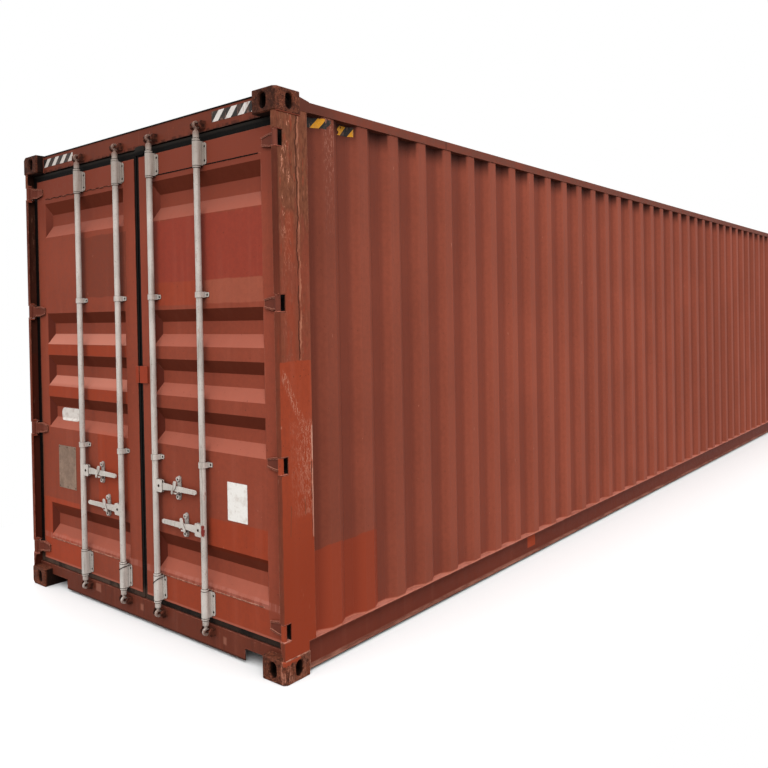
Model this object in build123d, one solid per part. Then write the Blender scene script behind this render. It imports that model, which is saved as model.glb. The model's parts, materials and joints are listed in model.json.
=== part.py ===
from build123d import *
import os

# Overall envelope
LENGTH = 12192.0
WIDTH = 2438.0
HEIGHT = 2896.0
END_Y = LENGTH / 2
SIDE_X = WIDTH / 2

# Corner castings
CAST_L = 178.0
CAST_W = 162.0
CAST_H = 118.0
CAST_WALL = 28.0
CAST_INNER_WALL = 16.0
HOLE_FROM_END = 103.5
HOLE_FROM_SIDE = 89.5
SIDE_HOLE_W = 51.0
SIDE_HOLE_H = 79.5
LOCK_HOLE_L = 124.5
LOCK_HOLE_W = 63.5
CAST_EDGE = 5.0
CAST_TIP = 26.0
HOLE_RIM = 5.0
CAST_INNER_X = SIDE_X - CAST_W
CAST_INNER_Y = END_Y - CAST_L
CAST_TOP_Z = HEIGHT - CAST_H

# Posts
SKIN_BACK = 5.0
POST_T = 6.0
POST_BACK = 4.0
POST_SIDE_L = 227.0
POST_LIP = 28.0
POST_BEND = 9.0
LIP_TAPER = 72.0
INNER_POST_W = 40.0
INNER_POST_D = 113.0
INNER_POST_T = 12.0
STOP_T = 6.0
SKIN_X = SIDE_X - SKIN_BACK
POST_FACE_Y = END_Y - POST_BACK
POST_EDGE_Y = END_Y - POST_SIDE_L
POST_IN_X = SKIN_X - POST_T
INNER_POST_X = POST_IN_X - INNER_POST_W
STOP_Y = POST_EDGE_Y + INNER_POST_D

# Side rails
TOP_RAIL = 60.0
TOP_RAIL_H = 50.0
TOP_RAIL_T = 3.0
TOP_RAIL_DROP = 40.0
BASE_Z = 14.0
RAIL_H = 154.0
RAIL_T = 4.5
RAIL_FLANGE = 48.0
RAIL_FOOT = 30.0
TOP_RAIL_Z = HEIGHT - TOP_RAIL_DROP
RAIL_UNDER_Z = TOP_RAIL_Z - TOP_RAIL_H
RAIL_TOP_Z = BASE_Z + RAIL_H
RAIL_WEB_X = SKIN_X - RAIL_FLANGE

# Floor structure
FLOOR_T = 28.0
CROSS_TOP_Z = 143.0
CROSS_H = 122.0
CROSS_W = 45.0
CROSS_T = 4.0
CROSS_PITCH = 305.0
CROSS_FIRST = 60.0
TUNNEL_L = 3315.0
TUNNEL_W = 1029.0
TUNNEL_T = 5.0
TUNNEL_LIP = 20.0

# Header and sill at the door end
FACE_BACK = 56.0
HEAD_T = 5.0
HEAD_DROP = 8.0
SILL_T = 6.0
SILL_DROP = 3.0
SILL_BASE_Z = 17.0
NOTCH_W = 189.0
NOTCH_H = 40.0
FACE_Y = END_Y - FACE_BACK
HEAD_TOP_Z = HEIGHT - HEAD_DROP
SILL_TOP_Z = CROSS_TOP_Z - SILL_DROP
NOTCH_X = CAST_INNER_X - NOTCH_W
NOTCH_Z = CAST_H - NOTCH_H

# Corrugated skins
WALL_T = 2.0
WALL_BACK = 5.0
WALL_PITCH = 278.0
WALL_DEPTH = 36.0
WALL_CREST = 72.0
WALL_SLOPE = 68.0
WALL_FIRST = 397.0
FRONT_PITCH = 250.0
FRONT_DEPTH = 46.0
FRONT_CREST = 110.0
FRONT_SLOPE = 18.0
FRONT_EDGE = 100.0
ROOF_PITCH = 209.0
ROOF_DEPTH = 20.0
ROOF_DROP = 2.0
ROOF_CREST = 91.0
ROOF_SLOPE = 13.5
ROOF_EDGE = 60.0
WALL_OUT_X = SKIN_X - WALL_BACK

# Door leaves
DOOR_BACK = 58.0
DOOR_D = 50.0
DOOR_GAP = 5.0
SEAL = 30.0
SEAL_MID = 20.0
SEAL_TOP = 45.0
SEAL_GAP = 6.0
SEAL_LIP_T = 8.0
SEAL_INSET = 4.0
SEAL_TIP_GAP = 8.0
LEAF_EDGE = 16.0
STOP_LAP = 8.0
STILE_IN = 110.0
STILE_OUT = 94.0
RAIL_LOW = 149.0
RAIL_HIGH = 123.0
MID_RISE = 4.5
TUBE_T = 4.0
PANEL_T = 2.0
DOOR_FACE_Y = END_Y - DOOR_BACK
DOOR_IN_Y = DOOR_FACE_Y - DOOR_D
LEAF_X0 = DOOR_GAP + SEAL_MID
LEAF_X1 = INNER_POST_X - LEAF_EDGE
LEAF_Z0 = SILL_TOP_Z + SEAL_GAP + SEAL
LEAF_Z1 = CAST_TOP_Z - SEAL_GAP - SEAL_TOP
LEAF_MID_Z = (LEAF_Z0 + LEAF_Z1) / 2 + MID_RISE
HEAD_STOP_Z = LEAF_Z1 - STOP_LAP
SEAL_TIP_X = POST_IN_X - SEAL_TIP_GAP
PANEL_X0 = LEAF_X0 + STILE_IN
PANEL_X1 = LEAF_X1 - STILE_OUT
PANEL_Z0 = LEAF_Z0 + RAIL_LOW
PANEL_Z1 = LEAF_Z1 - RAIL_HIGH

# Pressed pockets of the door sheet
POCKET_D = 36.0
POCKET_END = 40.0
POCKET_EDGE = 4.0
MID_POCKET_H = 206.0
MID_POCKET_SLOPE = 68.0
MID_POCKET_PITCH = 278.0
HIGH_POCKET_H = 226.0
LOW_POCKET_H = 224.0
END_POCKET_SLOPE = 75.0
HIGH_POCKET_GAP = 33.5
LOW_POCKET_GAP = 18.0

# Hinges
PIN_FROM_SIDE = 22.0
PIN_FROM_END = 19.0
PIN_R = 6.0
PIN_CLEAR = 0.4
KNUCKLE_R = 14.0
KNUCKLE_H = 80.0
POCKET_CLEAR = 6.0
POCKET_DEPTH = 55.0
POCKET_SIDE = 4.0
LUG_T = 10.0
LUG_W = 14.0
LUG_Y = 16.0
BLADE_L = 80.0
BLADE_T = 8.0
BLADE_RISE = 4.0
BLADE_TIP_H = 44.0
BLADE_ROOT_H = 66.0
BLADE_SHOULDER = 22.0
BLADE_NECK = 16.0
BLADE_NECK_Y = 28.0
BLADE_BACK = 21.0
BLADE_BACK_Y = 17.0
RIB_T = 4.0
RIB_W = 8.0
HINGE_TOP = 77.0
HINGE_LOW = 76.0
HINGE_HIGH_PITCH = 798.0
HINGE_LOW_PITCH = 810.0
PIN_X = SIDE_X - PIN_FROM_SIDE
PIN_Y = -(END_Y - PIN_FROM_END)
POCKET_Y = END_Y - POCKET_DEPTH
HINGE_Z = (
    LEAF_Z1 - HINGE_TOP,
    LEAF_Z1 - HINGE_TOP - HINGE_HIGH_PITCH,
    LEAF_Z0 + HINGE_LOW + HINGE_LOW_PITCH,
    LEAF_Z0 + HINGE_LOW,
)

# Lock rods and their covers
ROD_R = 17.0
ROD_WALL = 3.0
ROD_FROM_END = 26.0
ROD_FROM_EDGE = 145.0
ROD_PITCH = 424.0
ROD_CLEAR = 0.5
HAT_T = 4.5
HAT_FLANGE = 24.0
HAT_INSET = 6.0
HAT_CORNER = 12.0
HAT_BEND = 6.0
HAT_TOP_H = 128.0
HAT_LOW_H = 140.0
HAT_TOP_GAP = 1.0
HAT_LOW_GAP = 8.0
GUIDE_FROM_MID = 455.0
GUIDE_H = 30.0
COLLAR_R = 21.5
COLLAR_H = 10.0
COLLAR_GAP = 2.0
GROOVE = 2.0
SHOULDER = 8.0
NECK_R = 9.0
NECK_H = 13.0
ROD_Y = -(END_Y - ROD_FROM_END)
ROD_BORE = ROD_R - ROD_WALL
ROD_X = (LEAF_X0 + ROD_FROM_EDGE, LEAF_X0 + ROD_FROM_EDGE + ROD_PITCH)
HAT_TOP_Z = (LEAF_Z1 - HAT_TOP_GAP - HAT_TOP_H, LEAF_Z1 - HAT_TOP_GAP)
HAT_LOW_Z = (LEAF_Z0 + HAT_LOW_GAP, LEAF_Z0 + HAT_LOW_GAP + HAT_LOW_H)
GUIDE_Z = (LEAF_MID_Z + GUIDE_FROM_MID, LEAF_MID_Z - GUIDE_FROM_MID)

# Cams and keepers
CAM_R = 20.5
CAM_WALL = 9.0
CAM_W = 14.0
CAM_MOUTH = 20.0
CAM_UP = 35.0
CAM_DOWN = 34.0
KEEPER_W = 90.0
KEEPER_H = 40.0
KEEPER_PLATE = 3.0
KEEPER_EAR = 32.0
KEEPER_T = 9.0
KEEPER_OUT = 8.0
KEEPER_CUT = 10.0
TOOTH_W = 12.0
TOOTH_H = 10.0
TOOTH_L = 14.0
CAM_TOP_Z = CAST_TOP_Z + CAM_UP
CAM_LOW_Z = SILL_TOP_Z - CAM_DOWN

# Handles, with their height over the bottom of the leaf
HANDLE_HIGH = 667.0
HANDLE_LOW = 470.0
HANDLE_END_GAP = 58.0
HANDLE_REACH = ROD_PITCH - HANDLE_END_GAP
HUB_X = 40.0
HUB_START = 13.5
HUB_W = 55.0
HUB_H = 70.0
HUB_ROUND = 9.0
CHEEK_T = 3.5
CHEEK_CLEAR = 0.5
EYE_R = 15.0
BAR_T = 8.0
BAR_Y = ROD_Y
SEAL_EYE_T = 5.0
CATCH_X = 182.0
REST_H = 134.0
REST_W = 30.0
REST_T = 6.0
RING_UP = 49.0
RING_R = 14.0
RING_HOLE = 6.0
RING_T = 11.0
SHELF_W = 24.0
SHELF_T = 8.0
SHELF_DROP = 22.0
HANDLES = (
    ("upper", LEAF_Z0 + HANDLE_HIGH, 0, 1.0),
    ("lower", LEAF_Z0 + HANDLE_LOW, 1, -1.0),
)

# Plates on the leaves
BRIDGE_T = 5.0
BRIDGE_OUT = 4.0
BRIDGE_FOOT = 24.0
BRIDGE_H = 99.0
BRIDGE_UP = 7.5
BRIDGE_RIGHT = 80.0
BRIDGE_LEFT = 34.0
DATA_W = 210.0
DATA_H = 280.0
DATA_T = 1.5
DATA_FROM_EDGE = 316.0
DATA_UP = 648.0


def block(x0, x1, y0, y1, z0, z1):
    size = Box(x1 - x0, y1 - y0, z1 - z0)
    return Pos((x0 + x1) / 2, (y0 + y1) / 2, (z0 + z1) / 2) * size


def outline(points):
    return make_face(Polyline(*points, close=True))


def along_z(points, z0, z1):
    return Pos(0, 0, z0) * extrude(outline(points), z1 - z0)


def along_x(points, x0, x1):
    return extrude(Plane.YZ.offset(x0) * outline(points), x1 - x0)


def along_y(points, y0, y1):
    return extrude(Plane.XZ.offset(-y1) * outline(points), y1 - y0)


def rod_z(x, y, z0, z1, r):
    return Pos(x, y, (z0 + z1) / 2) * Cylinder(r, z1 - z0)


def rod_y(x, z, y0, y1, r):
    return Pos(x, (y0 + y1) / 2, z) * Rot(90, 0, 0) * Cylinder(r, y1 - y0)


def mirror_x(shape):
    return mirror(shape, Plane.YZ)


def mirror_y(shape):
    return mirror(shape, Plane.XZ)


def pair(shape):
    return [shape, mirror_x(shape)]


def save(name, shapes):
    parts = shapes if isinstance(shapes, list) else [shapes]
    solids = [s for p in parts for s in p.solids()]
    body = solids[0] if len(solids) == 1 else Compound(solids)
    body.label = name
    export_step(body, "parts/" + name + ".step")


def wave(count, pitch, depth, crest, slope, start):
    """Centre points of a trapezoidal wave: crests at 0, valleys at -depth."""
    points = []
    for i in range(count):
        centre = start + i * pitch
        points.append((centre - crest / 2 - slope, -depth))
        points.append((centre - crest / 2, 0.0))
        points.append((centre + crest / 2, 0.0))
        points.append((centre + crest / 2 + slope, -depth))
    return points


def sheet(points, t):
    """Closed outline of a thin bent sheet that follows the points."""
    back = [(a, b - t) for a, b in reversed(points)]
    return points + back


def slot_cut_y(x, z, w, h, y0, y1):
    face = Plane.XZ.offset(-y1) * (Pos(x, z) * Rot(0, 0, 90) * SlotOverall(h, w))
    return extrude(face, y1 - y0)


def slot_cut_x(y, z, w, h, x0, x1):
    face = Plane.YZ.offset(x0) * (Pos(y, z) * Rot(0, 0, 90) * SlotOverall(h, w))
    return extrude(face, x1 - x0)


def tip_cut(z, up):
    """Wedge that blunts the outer corner of a casting."""
    c = CAST_TIP / 3
    rise = -c if up else c
    face = Plane((SIDE_X - c, -END_Y + c, z + rise), z_dir=(1, -1, 1 if up else -1))
    return extrude(face * Rectangle(CAST_TIP * 3, CAST_TIP * 3), CAST_TIP)


def casting(z0, lock_up):
    x0, x1 = CAST_INNER_X, SIDE_X
    y0, y1 = -END_Y, -CAST_INNER_Y
    z1 = z0 + CAST_H
    body = chamfer(block(x0, x1, y0, y1, z0, z1).edges(), CAST_EDGE)
    body -= tip_cut(z1 if lock_up else z0, lock_up)
    hx = SIDE_X - HOLE_FROM_SIDE
    hy = -END_Y + HOLE_FROM_END
    mid = (z0 + z1) / 2
    body -= slot_cut_y(hx, mid, SIDE_HOLE_W, SIDE_HOLE_H, y0 - 1, y0 + CAST_WALL + 1)
    body = chamfer(body.faces().sort_by(Axis.Y)[0].inner_wires()[0].edges(), HOLE_RIM)
    body -= slot_cut_x(hy, mid, SIDE_HOLE_W, SIDE_HOLE_H, x1 - CAST_WALL - 1, x1 + 1)
    body = chamfer(body.faces().sort_by(Axis.X)[-1].inner_wires()[0].edges(), HOLE_RIM)
    inner_low = z0 + (CAST_INNER_WALL if lock_up else CAST_WALL)
    inner_high = z1 - (CAST_WALL if lock_up else CAST_INNER_WALL)
    body -= block(
        x0 + CAST_INNER_WALL, x1 - CAST_WALL, y0 + CAST_WALL, y1 - CAST_INNER_WALL,
        inner_low, inner_high,
    )
    lock = Pos(hx, hy) * Rot(0, 0, 90) * SlotOverall(LOCK_HOLE_L, LOCK_HOLE_W)
    low = inner_high - 1 if lock_up else z0 - 1
    body -= Pos(0, 0, low) * extrude(lock, CAST_WALL + 2)
    return body


def castings(z0, lock_up):
    one = pair(casting(z0, lock_up))
    return one + [mirror_y(s) for s in one]


def hinge_pockets():
    cuts = []
    half = KNUCKLE_H / 2 + POCKET_CLEAR
    x0 = SKIN_X - POST_LIP - POCKET_SIDE
    for z in HINGE_Z:
        cuts.append(block(x0, SIDE_X, -END_Y, -POCKET_Y, z - half, z + half))
    return cuts


def side_plate_cuts():
    """Space taken by the castings and the rails at the ends of the post."""
    y0, y1 = -CAST_INNER_Y, -POST_EDGE_Y + 1
    return [
        block(0, SIDE_X, -END_Y, y0, CAST_TOP_Z, HEIGHT),
        block(0, SIDE_X, -END_Y, y0, 0, CAST_H),
        block(0, SIDE_X, y0, y1, 0, RAIL_TOP_Z),
        block(0, SIDE_X, y0, y1, RAIL_UNDER_Z, HEIGHT),
    ]


def lip_cut():
    """Slanted end of the narrow front lip above the bottom casting."""
    x0, x1 = SKIN_X - POST_LIP - 1, SKIN_X - POST_BEND
    corner = [(x0, CAST_H), (x1, CAST_H), (x0, CAST_H + LIP_TAPER)]
    return along_y(corner, -END_Y, -POST_FACE_Y + POST_T)


def rear_post_outer():
    x1, y0, y1 = SKIN_X, -POST_FACE_Y, -POST_EDGE_Y
    xi, yi = x1 - POST_T, y0 + POST_T
    profile = [(x1 - POST_LIP, y0), (x1, y0), (x1, y1), (xi, y1), (xi, yi), (x1 - POST_LIP, yi)]
    post = along_z(profile, 0, HEIGHT)
    corner = post.edges().filter_by(Axis.Z).sort_by_distance((x1, y0, HEIGHT / 2))[0]
    post = fillet(corner, POST_BEND)
    for cut in side_plate_cuts() + hinge_pockets() + [lip_cut()]:
        post -= cut
    return post


def rear_post_inner():
    x0, x1 = INNER_POST_X, POST_IN_X
    y0, y1, t = -STOP_Y, -POST_EDGE_Y, INNER_POST_T
    profile = [
        (x0, y0), (x1, y0), (x1, y0 + t), (x0 + t, y0 + t),
        (x0 + t, y1 - t), (x1, y1 - t), (x1, y1), (x0, y1),
    ]
    post = along_z(profile, CAST_H, CAST_TOP_Z)
    return post - block(x0 - 1, x1 + 1, -CAST_INNER_Y, y1 + 1, 0, RAIL_TOP_Z)


def front_post():
    x1, y1, y0 = SKIN_X, POST_FACE_Y, POST_EDGE_Y
    xi, yi, xl = x1 - POST_T, y1 - POST_T, CAST_INNER_X
    profile = [(xl, y1), (x1, y1), (x1, y0), (xi, y0), (xi, yi), (xl, yi)]
    post = along_z(profile, 0, HEIGHT)
    corner = post.edges().filter_by(Axis.Z).sort_by_distance((x1, y1, HEIGHT / 2))[0]
    post = fillet(corner, POST_BEND)
    for cut in side_plate_cuts():
        post -= mirror_y(cut)
    return post


def top_side_rail():
    x0, x1 = SKIN_X - TOP_RAIL, SKIN_X
    z0, z1, t = RAIL_UNDER_Z, TOP_RAIL_Z, TOP_RAIL_T
    tube = block(x0, x1, -CAST_INNER_Y, CAST_INNER_Y, z0, z1)
    return tube - block(x0 + t, x1 - t, -END_Y, END_Y, z0 + t, z1 - t)


def bottom_side_rail():
    x0, x1, t = RAIL_WEB_X, SKIN_X, RAIL_T
    xf = x0 + RAIL_FOOT
    profile = [
        (x0, BASE_Z), (xf, BASE_Z), (xf, BASE_Z + t), (x0 + t, BASE_Z + t),
        (x0 + t, RAIL_TOP_Z - t), (x1, RAIL_TOP_Z - t), (x1, RAIL_TOP_Z), (x0, RAIL_TOP_Z),
    ]
    return along_y(profile, -CAST_INNER_Y, CAST_INNER_Y)


def rear_header():
    y0, y1 = -FACE_Y, -CAST_INNER_Y
    z0, z1, t = CAST_TOP_Z, HEAD_TOP_Z, HEAD_T
    beam = block(-CAST_INNER_X, CAST_INNER_X, y0, y1, z0, z1)
    beam -= block(-SIDE_X, SIDE_X, y0 + t, y1 - t, z0 + t, z1 - t)
    stop = block(-INNER_POST_X, INNER_POST_X, -STOP_Y, -STOP_Y + STOP_T, HEAD_STOP_Z, z0)
    return beam + stop


def rear_sill():
    y0, y1, t = -FACE_Y, -CAST_INNER_Y, SILL_T
    zt, zb, zn = SILL_TOP_Z, SILL_BASE_Z, NOTCH_Z
    xp, xc = POST_IN_X, CAST_INNER_X
    half = [(xc, CAST_H), (xc, zn), (NOTCH_X, zn), (NOTCH_X, zb)]
    right = [(xp, zt), (xp, CAST_H)] + half
    left = [(-x, z) for x, z in reversed(right)]
    sill = along_y(right + left, y0, y0 + t)
    sill += block(-xc, xc, y0, y1, zt - t, zt)
    sill += block(-xp, xp, y0, -STOP_Y, zt - t, zt)
    sill += block(-INNER_POST_X, INNER_POST_X, y0, -STOP_Y + STOP_T, zt - t, zt)
    sill += block(-xc, xc, y1 - t, y1, zb, zt)
    stop_top = CROSS_TOP_Z + FLOOR_T
    sill += block(-INNER_POST_X, INNER_POST_X, -STOP_Y, -STOP_Y + STOP_T, zt, stop_top)
    return sill


def front_header():
    y0, y1, t = CAST_INNER_Y, POST_FACE_Y, HEAD_T
    beam = block(-CAST_INNER_X, CAST_INNER_X, y0, y1, CAST_TOP_Z, HEAD_TOP_Z)
    return beam - block(-SIDE_X, SIDE_X, y0 + t, y1 - t, CAST_TOP_Z + t, HEAD_TOP_Z - t)


def front_sill():
    y1, t = POST_FACE_Y, SILL_T
    xc, xt = CAST_INNER_X, TUNNEL_W / 2
    zt, zb, zr = CROSS_TOP_Z, SILL_BASE_Z, CROSS_TOP_Z - TUNNEL_T
    face = [(-xc, zb), (-xt, zb), (-xt, zr), (xt, zr), (xt, zb), (xc, zb), (xc, zt), (-xc, zt)]
    sill = along_y(face, y1 - t, y1)
    return sill + block(-xc, xc, CAST_INNER_Y, y1, zt, zt + t)


def how_many(length, pitch):
    """Number of ribs at this pitch, with the first and last centres this far apart at most."""
    return int(length / pitch) + 1


def side_wall():
    count = how_many(LENGTH - 2 * WALL_FIRST, WALL_PITCH)
    points = wave(count, WALL_PITCH, WALL_DEPTH, WALL_CREST, WALL_SLOPE, -END_Y + WALL_FIRST)
    points = [(-POST_EDGE_Y, -WALL_DEPTH)] + points + [(POST_EDGE_Y, -WALL_DEPTH)]
    closed = [(WALL_OUT_X + b, a) for a, b in sheet(points, WALL_T)]
    return along_z(closed, RAIL_TOP_Z, RAIL_UNDER_Z)


def front_wall():
    room = 2 * (CAST_INNER_X - FRONT_EDGE - FRONT_SLOPE) - FRONT_CREST
    count = how_many(room, FRONT_PITCH)
    start = -FRONT_PITCH * (count - 1) / 2
    points = wave(count, FRONT_PITCH, FRONT_DEPTH, FRONT_CREST, FRONT_SLOPE, start)
    points = [(-CAST_INNER_X, -FRONT_DEPTH)] + points + [(CAST_INNER_X, -FRONT_DEPTH)]
    closed = [(a, POST_FACE_Y - POST_T + b) for a, b in sheet(points, WALL_T)]
    return along_z(closed, CROSS_TOP_Z + SILL_T, CAST_TOP_Z)


def roof():
    room = 2 * (CAST_INNER_Y - ROOF_EDGE - ROOF_SLOPE) - ROOF_CREST
    count = how_many(room, ROOF_PITCH)
    start = -ROOF_PITCH * (count - 1) / 2
    points = wave(count, ROOF_PITCH, ROOF_DEPTH, ROOF_CREST, ROOF_SLOPE, start)
    points = [(-CAST_INNER_Y, -ROOF_DEPTH)] + points + [(CAST_INNER_Y, -ROOF_DEPTH)]
    closed = [(a, TOP_RAIL_Z - ROOF_DROP + b) for a, b in sheet(points, WALL_T)]
    half = SKIN_X - TOP_RAIL
    return along_x(closed, -half, half)


def floor():
    y0 = -STOP_Y + STOP_T
    return block(-RAIL_WEB_X, RAIL_WEB_X, y0, CAST_INNER_Y, CROSS_TOP_Z, CROSS_TOP_Z + FLOOR_T)


def channel(x0, x1, y):
    z0, z1, t = CROSS_TOP_Z - CROSS_H, CROSS_TOP_Z, CROSS_T
    y1 = y + CROSS_W
    profile = [
        (y, z0), (y1, z0), (y1, z0 + t), (y + t, z0 + t),
        (y + t, z1 - t), (y1, z1 - t), (y1, z1), (y, z1),
    ]
    return along_x(profile, x0, x1)


def cross_members():
    members = []
    tunnel_y = CAST_INNER_Y - TUNNEL_L
    y = -CAST_INNER_Y + CROSS_FIRST
    while y + CROSS_W < CAST_INNER_Y:
        if y + CROSS_W < tunnel_y:
            members.append(channel(-RAIL_WEB_X, RAIL_WEB_X, y))
        else:
            members += pair(channel(TUNNEL_W / 2 + TUNNEL_T, RAIL_WEB_X, y))
        y += CROSS_PITCH
    return members


def gooseneck_tunnel():
    w, t = TUNNEL_W / 2, TUNNEL_T
    y0, y1 = CAST_INNER_Y - TUNNEL_L, CAST_INNER_Y
    z0, z1 = CROSS_TOP_Z - CROSS_H, CROSS_TOP_Z
    profile = [
        (-w - t, z0), (-w, z0), (-w, z1 - t), (w, z1 - t),
        (w, z0), (w + t, z0), (w + t, z1), (-w - t, z1),
    ]
    return along_y(profile, y0 + TUNNEL_LIP, y1)


def hinge_pins():
    sets = []
    half = KNUCKLE_H / 2 + POCKET_CLEAR
    x0, y0, y1 = PIN_X - LUG_W, -POST_FACE_Y + POST_T, PIN_Y + LUG_Y
    for z in HINGE_Z:
        pin = rod_z(PIN_X, PIN_Y, z - half - LUG_T, z + half + LUG_T, PIN_R)
        for low in (z - half - LUG_T, z + half):
            pin += block(x0, POST_IN_X, y0, y1, low, low + LUG_T)
        sets += pair(pin)
    return sets


def cam_keeper(x, z):
    """Two ears and a tooth on a base plate, with the cam free to turn between them."""
    y1 = -FACE_Y
    yb, yf = y1 - KEEPER_PLATE, ROD_Y - KEEPER_OUT
    z0, z1 = z - KEEPER_H / 2, z + KEEPER_H / 2
    c = KEEPER_CUT
    keeper = block(x - KEEPER_W / 2, x + KEEPER_W / 2, yb, y1, z0, z1)
    ear = [(yb, z0), (yf + c, z0), (yf, z0 + c), (yf, z1 - c), (yf + c, z1), (yb, z1)]
    for xa in (x - KEEPER_EAR - KEEPER_T, x + KEEPER_EAR):
        keeper += along_x(ear, xa, xa + KEEPER_T)
    w, h = TOOTH_W / 2, TOOTH_H / 2
    return keeper + block(x - w, x + w, yb - TOOTH_L, yb, z - h, z + h)


def cam_keepers():
    keepers = []
    for x in ROD_X:
        keepers += pair(cam_keeper(x, CAM_TOP_Z))
        keepers += pair(cam_keeper(x, CAM_LOW_Z))
    return keepers


def tube_box(x0, x1, z0, z1):
    y0, y1, t = -DOOR_FACE_Y, -DOOR_IN_Y, TUBE_T
    outer = block(x0, x1, y0, y1, z0, z1)
    return outer - block(x0 + t, x1 - t, y0 + t, y1 - t, z0 + t, z1 - t)


def door_frame():
    frame = tube_box(LEAF_X0, PANEL_X0, LEAF_Z0, LEAF_Z1)
    frame += tube_box(PANEL_X1, LEAF_X1, LEAF_Z0, LEAF_Z1)
    frame += tube_box(PANEL_X0, PANEL_X1, LEAF_Z0, PANEL_Z0)
    frame += tube_box(PANEL_X0, PANEL_X1, PANEL_Z1, LEAF_Z1)
    return frame


def pocket_rows():
    """Middle height, height and slope of each pressed pocket, from the top down."""
    high = PANEL_Z1 - HIGH_POCKET_GAP - HIGH_POCKET_H / 2
    low = PANEL_Z0 + LOW_POCKET_GAP + LOW_POCKET_H / 2
    rows = [(high, HIGH_POCKET_H, END_POCKET_SLOPE)]
    for step in (1, 0, -1):
        rows.append((LEAF_MID_Z + step * MID_POCKET_PITCH, MID_POCKET_H, MID_POCKET_SLOPE))
    rows.append((low, LOW_POCKET_H, END_POCKET_SLOPE))
    return rows


def pocket(z, height, slope, shift):
    """Solid of one pressed pocket, moved back by the shift."""
    y0 = -DOOR_FACE_Y + shift
    y1 = y0 + POCKET_D
    x0, x1 = PANEL_X0 + POCKET_EDGE, PANEL_X1 - POCKET_EDGE
    z0, z1 = z - height / 2, z + height / 2
    rows = along_x([(y0, z0), (y0, z1), (y1, z1 - slope), (y1, z0 + slope)], x0, x1)
    ends = [(x0, y0), (x1, y0), (x1 - POCKET_END, y1), (x0 + POCKET_END, y1)]
    return rows & along_z(ends, z0, z1)


def door_panel():
    y0 = -DOOR_FACE_Y
    panel = block(PANEL_X0, PANEL_X1, y0, y0 + PANEL_T, PANEL_Z0, PANEL_Z1)
    for row in pocket_rows():
        panel += pocket(*row, PANEL_T)
    for row in pocket_rows():
        panel -= pocket(*row, 0.0)
    return panel


def door_gasket():
    y0, y1 = -DOOR_FACE_Y + SEAL_INSET, -DOOR_IN_Y - SEAL_INSET / 2
    z0, z1 = LEAF_Z0 - SEAL, LEAF_Z1 + SEAL_TOP
    ring = block(DOOR_GAP, LEAF_X1 + SEAL, y0, y1, z0, z1)
    ring += block(LEAF_X1, SEAL_TIP_X, y0, y0 + SEAL_LIP_T, z0, z1)
    return ring - block(LEAF_X0, LEAF_X1, y0 - DOOR_D, y1 + DOOR_D, LEAF_Z0, LEAF_Z1)


def blade_plan(rise):
    """Plan of a hinge blade from the leaf to the knuckle, its face lifted by the rise."""
    y = -DOOR_FACE_Y
    x0, xm = LEAF_X1 - BLADE_L, LEAF_X1
    return [
        (x0, y), (x0, y - BLADE_T - rise), (xm, y - BLADE_T - BLADE_RISE - rise),
        (PIN_X - BLADE_NECK, y - BLADE_NECK_Y), (PIN_X - KNUCKLE_R / 2, PIN_Y - KNUCKLE_R * 0.87),
        (PIN_X, PIN_Y - KNUCKLE_R), (PIN_X, PIN_Y + KNUCKLE_R),
        (PIN_X - BLADE_BACK, y - BLADE_BACK_Y), (xm, y),
    ]


def blade_side(z, inset):
    """Side view of a hinge blade: narrow at its tip, wider at its root and full at the knuckle."""
    h, root, tip = (size / 2 - inset for size in (KNUCKLE_H, BLADE_ROOT_H, BLADE_TIP_H))
    x0, xr, xk, x1 = LEAF_X1 - BLADE_L, LEAF_X1 - BLADE_SHOULDER, PIN_X - BLADE_NECK, PIN_X + KNUCKLE_R + 1
    half = [(x0, tip), (xr, root), (xk, root), (xk, h), (x1, h)]
    return [(x, z - s) for x, s in half] + [(x, z + s) for x, s in reversed(half)]


def hinge_blade(z):
    y0, y1 = -END_Y - 1, -DOOR_FACE_Y + 1
    h = KNUCKLE_H / 2
    body = along_z(blade_plan(0.0), z - h, z + h) + rod_z(PIN_X, PIN_Y, z - h, z + h, KNUCKLE_R)
    body &= along_y(blade_side(z, 0.0), y0, y1)
    ribs = along_y(blade_side(z, 0.0), y0, y1) - along_y(blade_side(z, RIB_W), y0 - 1, y1 + 1)
    body += along_z(blade_plan(RIB_T), z - h, z + h) & ribs
    return body - rod_z(PIN_X, PIN_Y, z - h - 1, z + h + 1, PIN_R + PIN_CLEAR)


def hat(x, z0, z1):
    """Bolted cover that holds a rod against the door."""
    y = -DOOR_FACE_Y
    r = ROD_R + ROD_CLEAR
    w = r + HAT_T
    f, h, inset = w + HAT_FLANGE, z1 - z0, min(HAT_INSET, (z1 - z0) / 10)
    corner = min(HAT_CORNER, h / 5)
    plate = Plane.XZ.offset(-y) * Pos(x, (z0 + z1) / 2) * RectangleRounded(2 * f, h - 2 * inset, corner)
    cover = extrude(plate, HAT_T)
    cover += rod_z(x, ROD_Y, z0, z1, w) + block(x - w, x + w, ROD_Y, y, z0, z1)
    inner = [e for e in cover.edges().filter_by(Axis.Z) if abs(e.center().Y - (y - HAT_T)) < 0.1]
    cover = fillet([e for e in inner if abs(abs(e.center().X - x) - w) < 0.1], HAT_BEND)
    cover -= rod_z(x, ROD_Y, z0 - 1, z1 + 1, r)
    return cover - block(x - r, x + r, ROD_Y, y + 1, z0 - 1, z1 + 1)


def rod_brackets(rods):
    parts = []
    for x in rods:
        parts.append(hat(x, *HAT_TOP_Z))
        parts.append(hat(x, *HAT_LOW_Z))
        for z in GUIDE_Z:
            parts.append(hat(x, z - GUIDE_H / 2, z + GUIDE_H / 2))
    return parts


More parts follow.
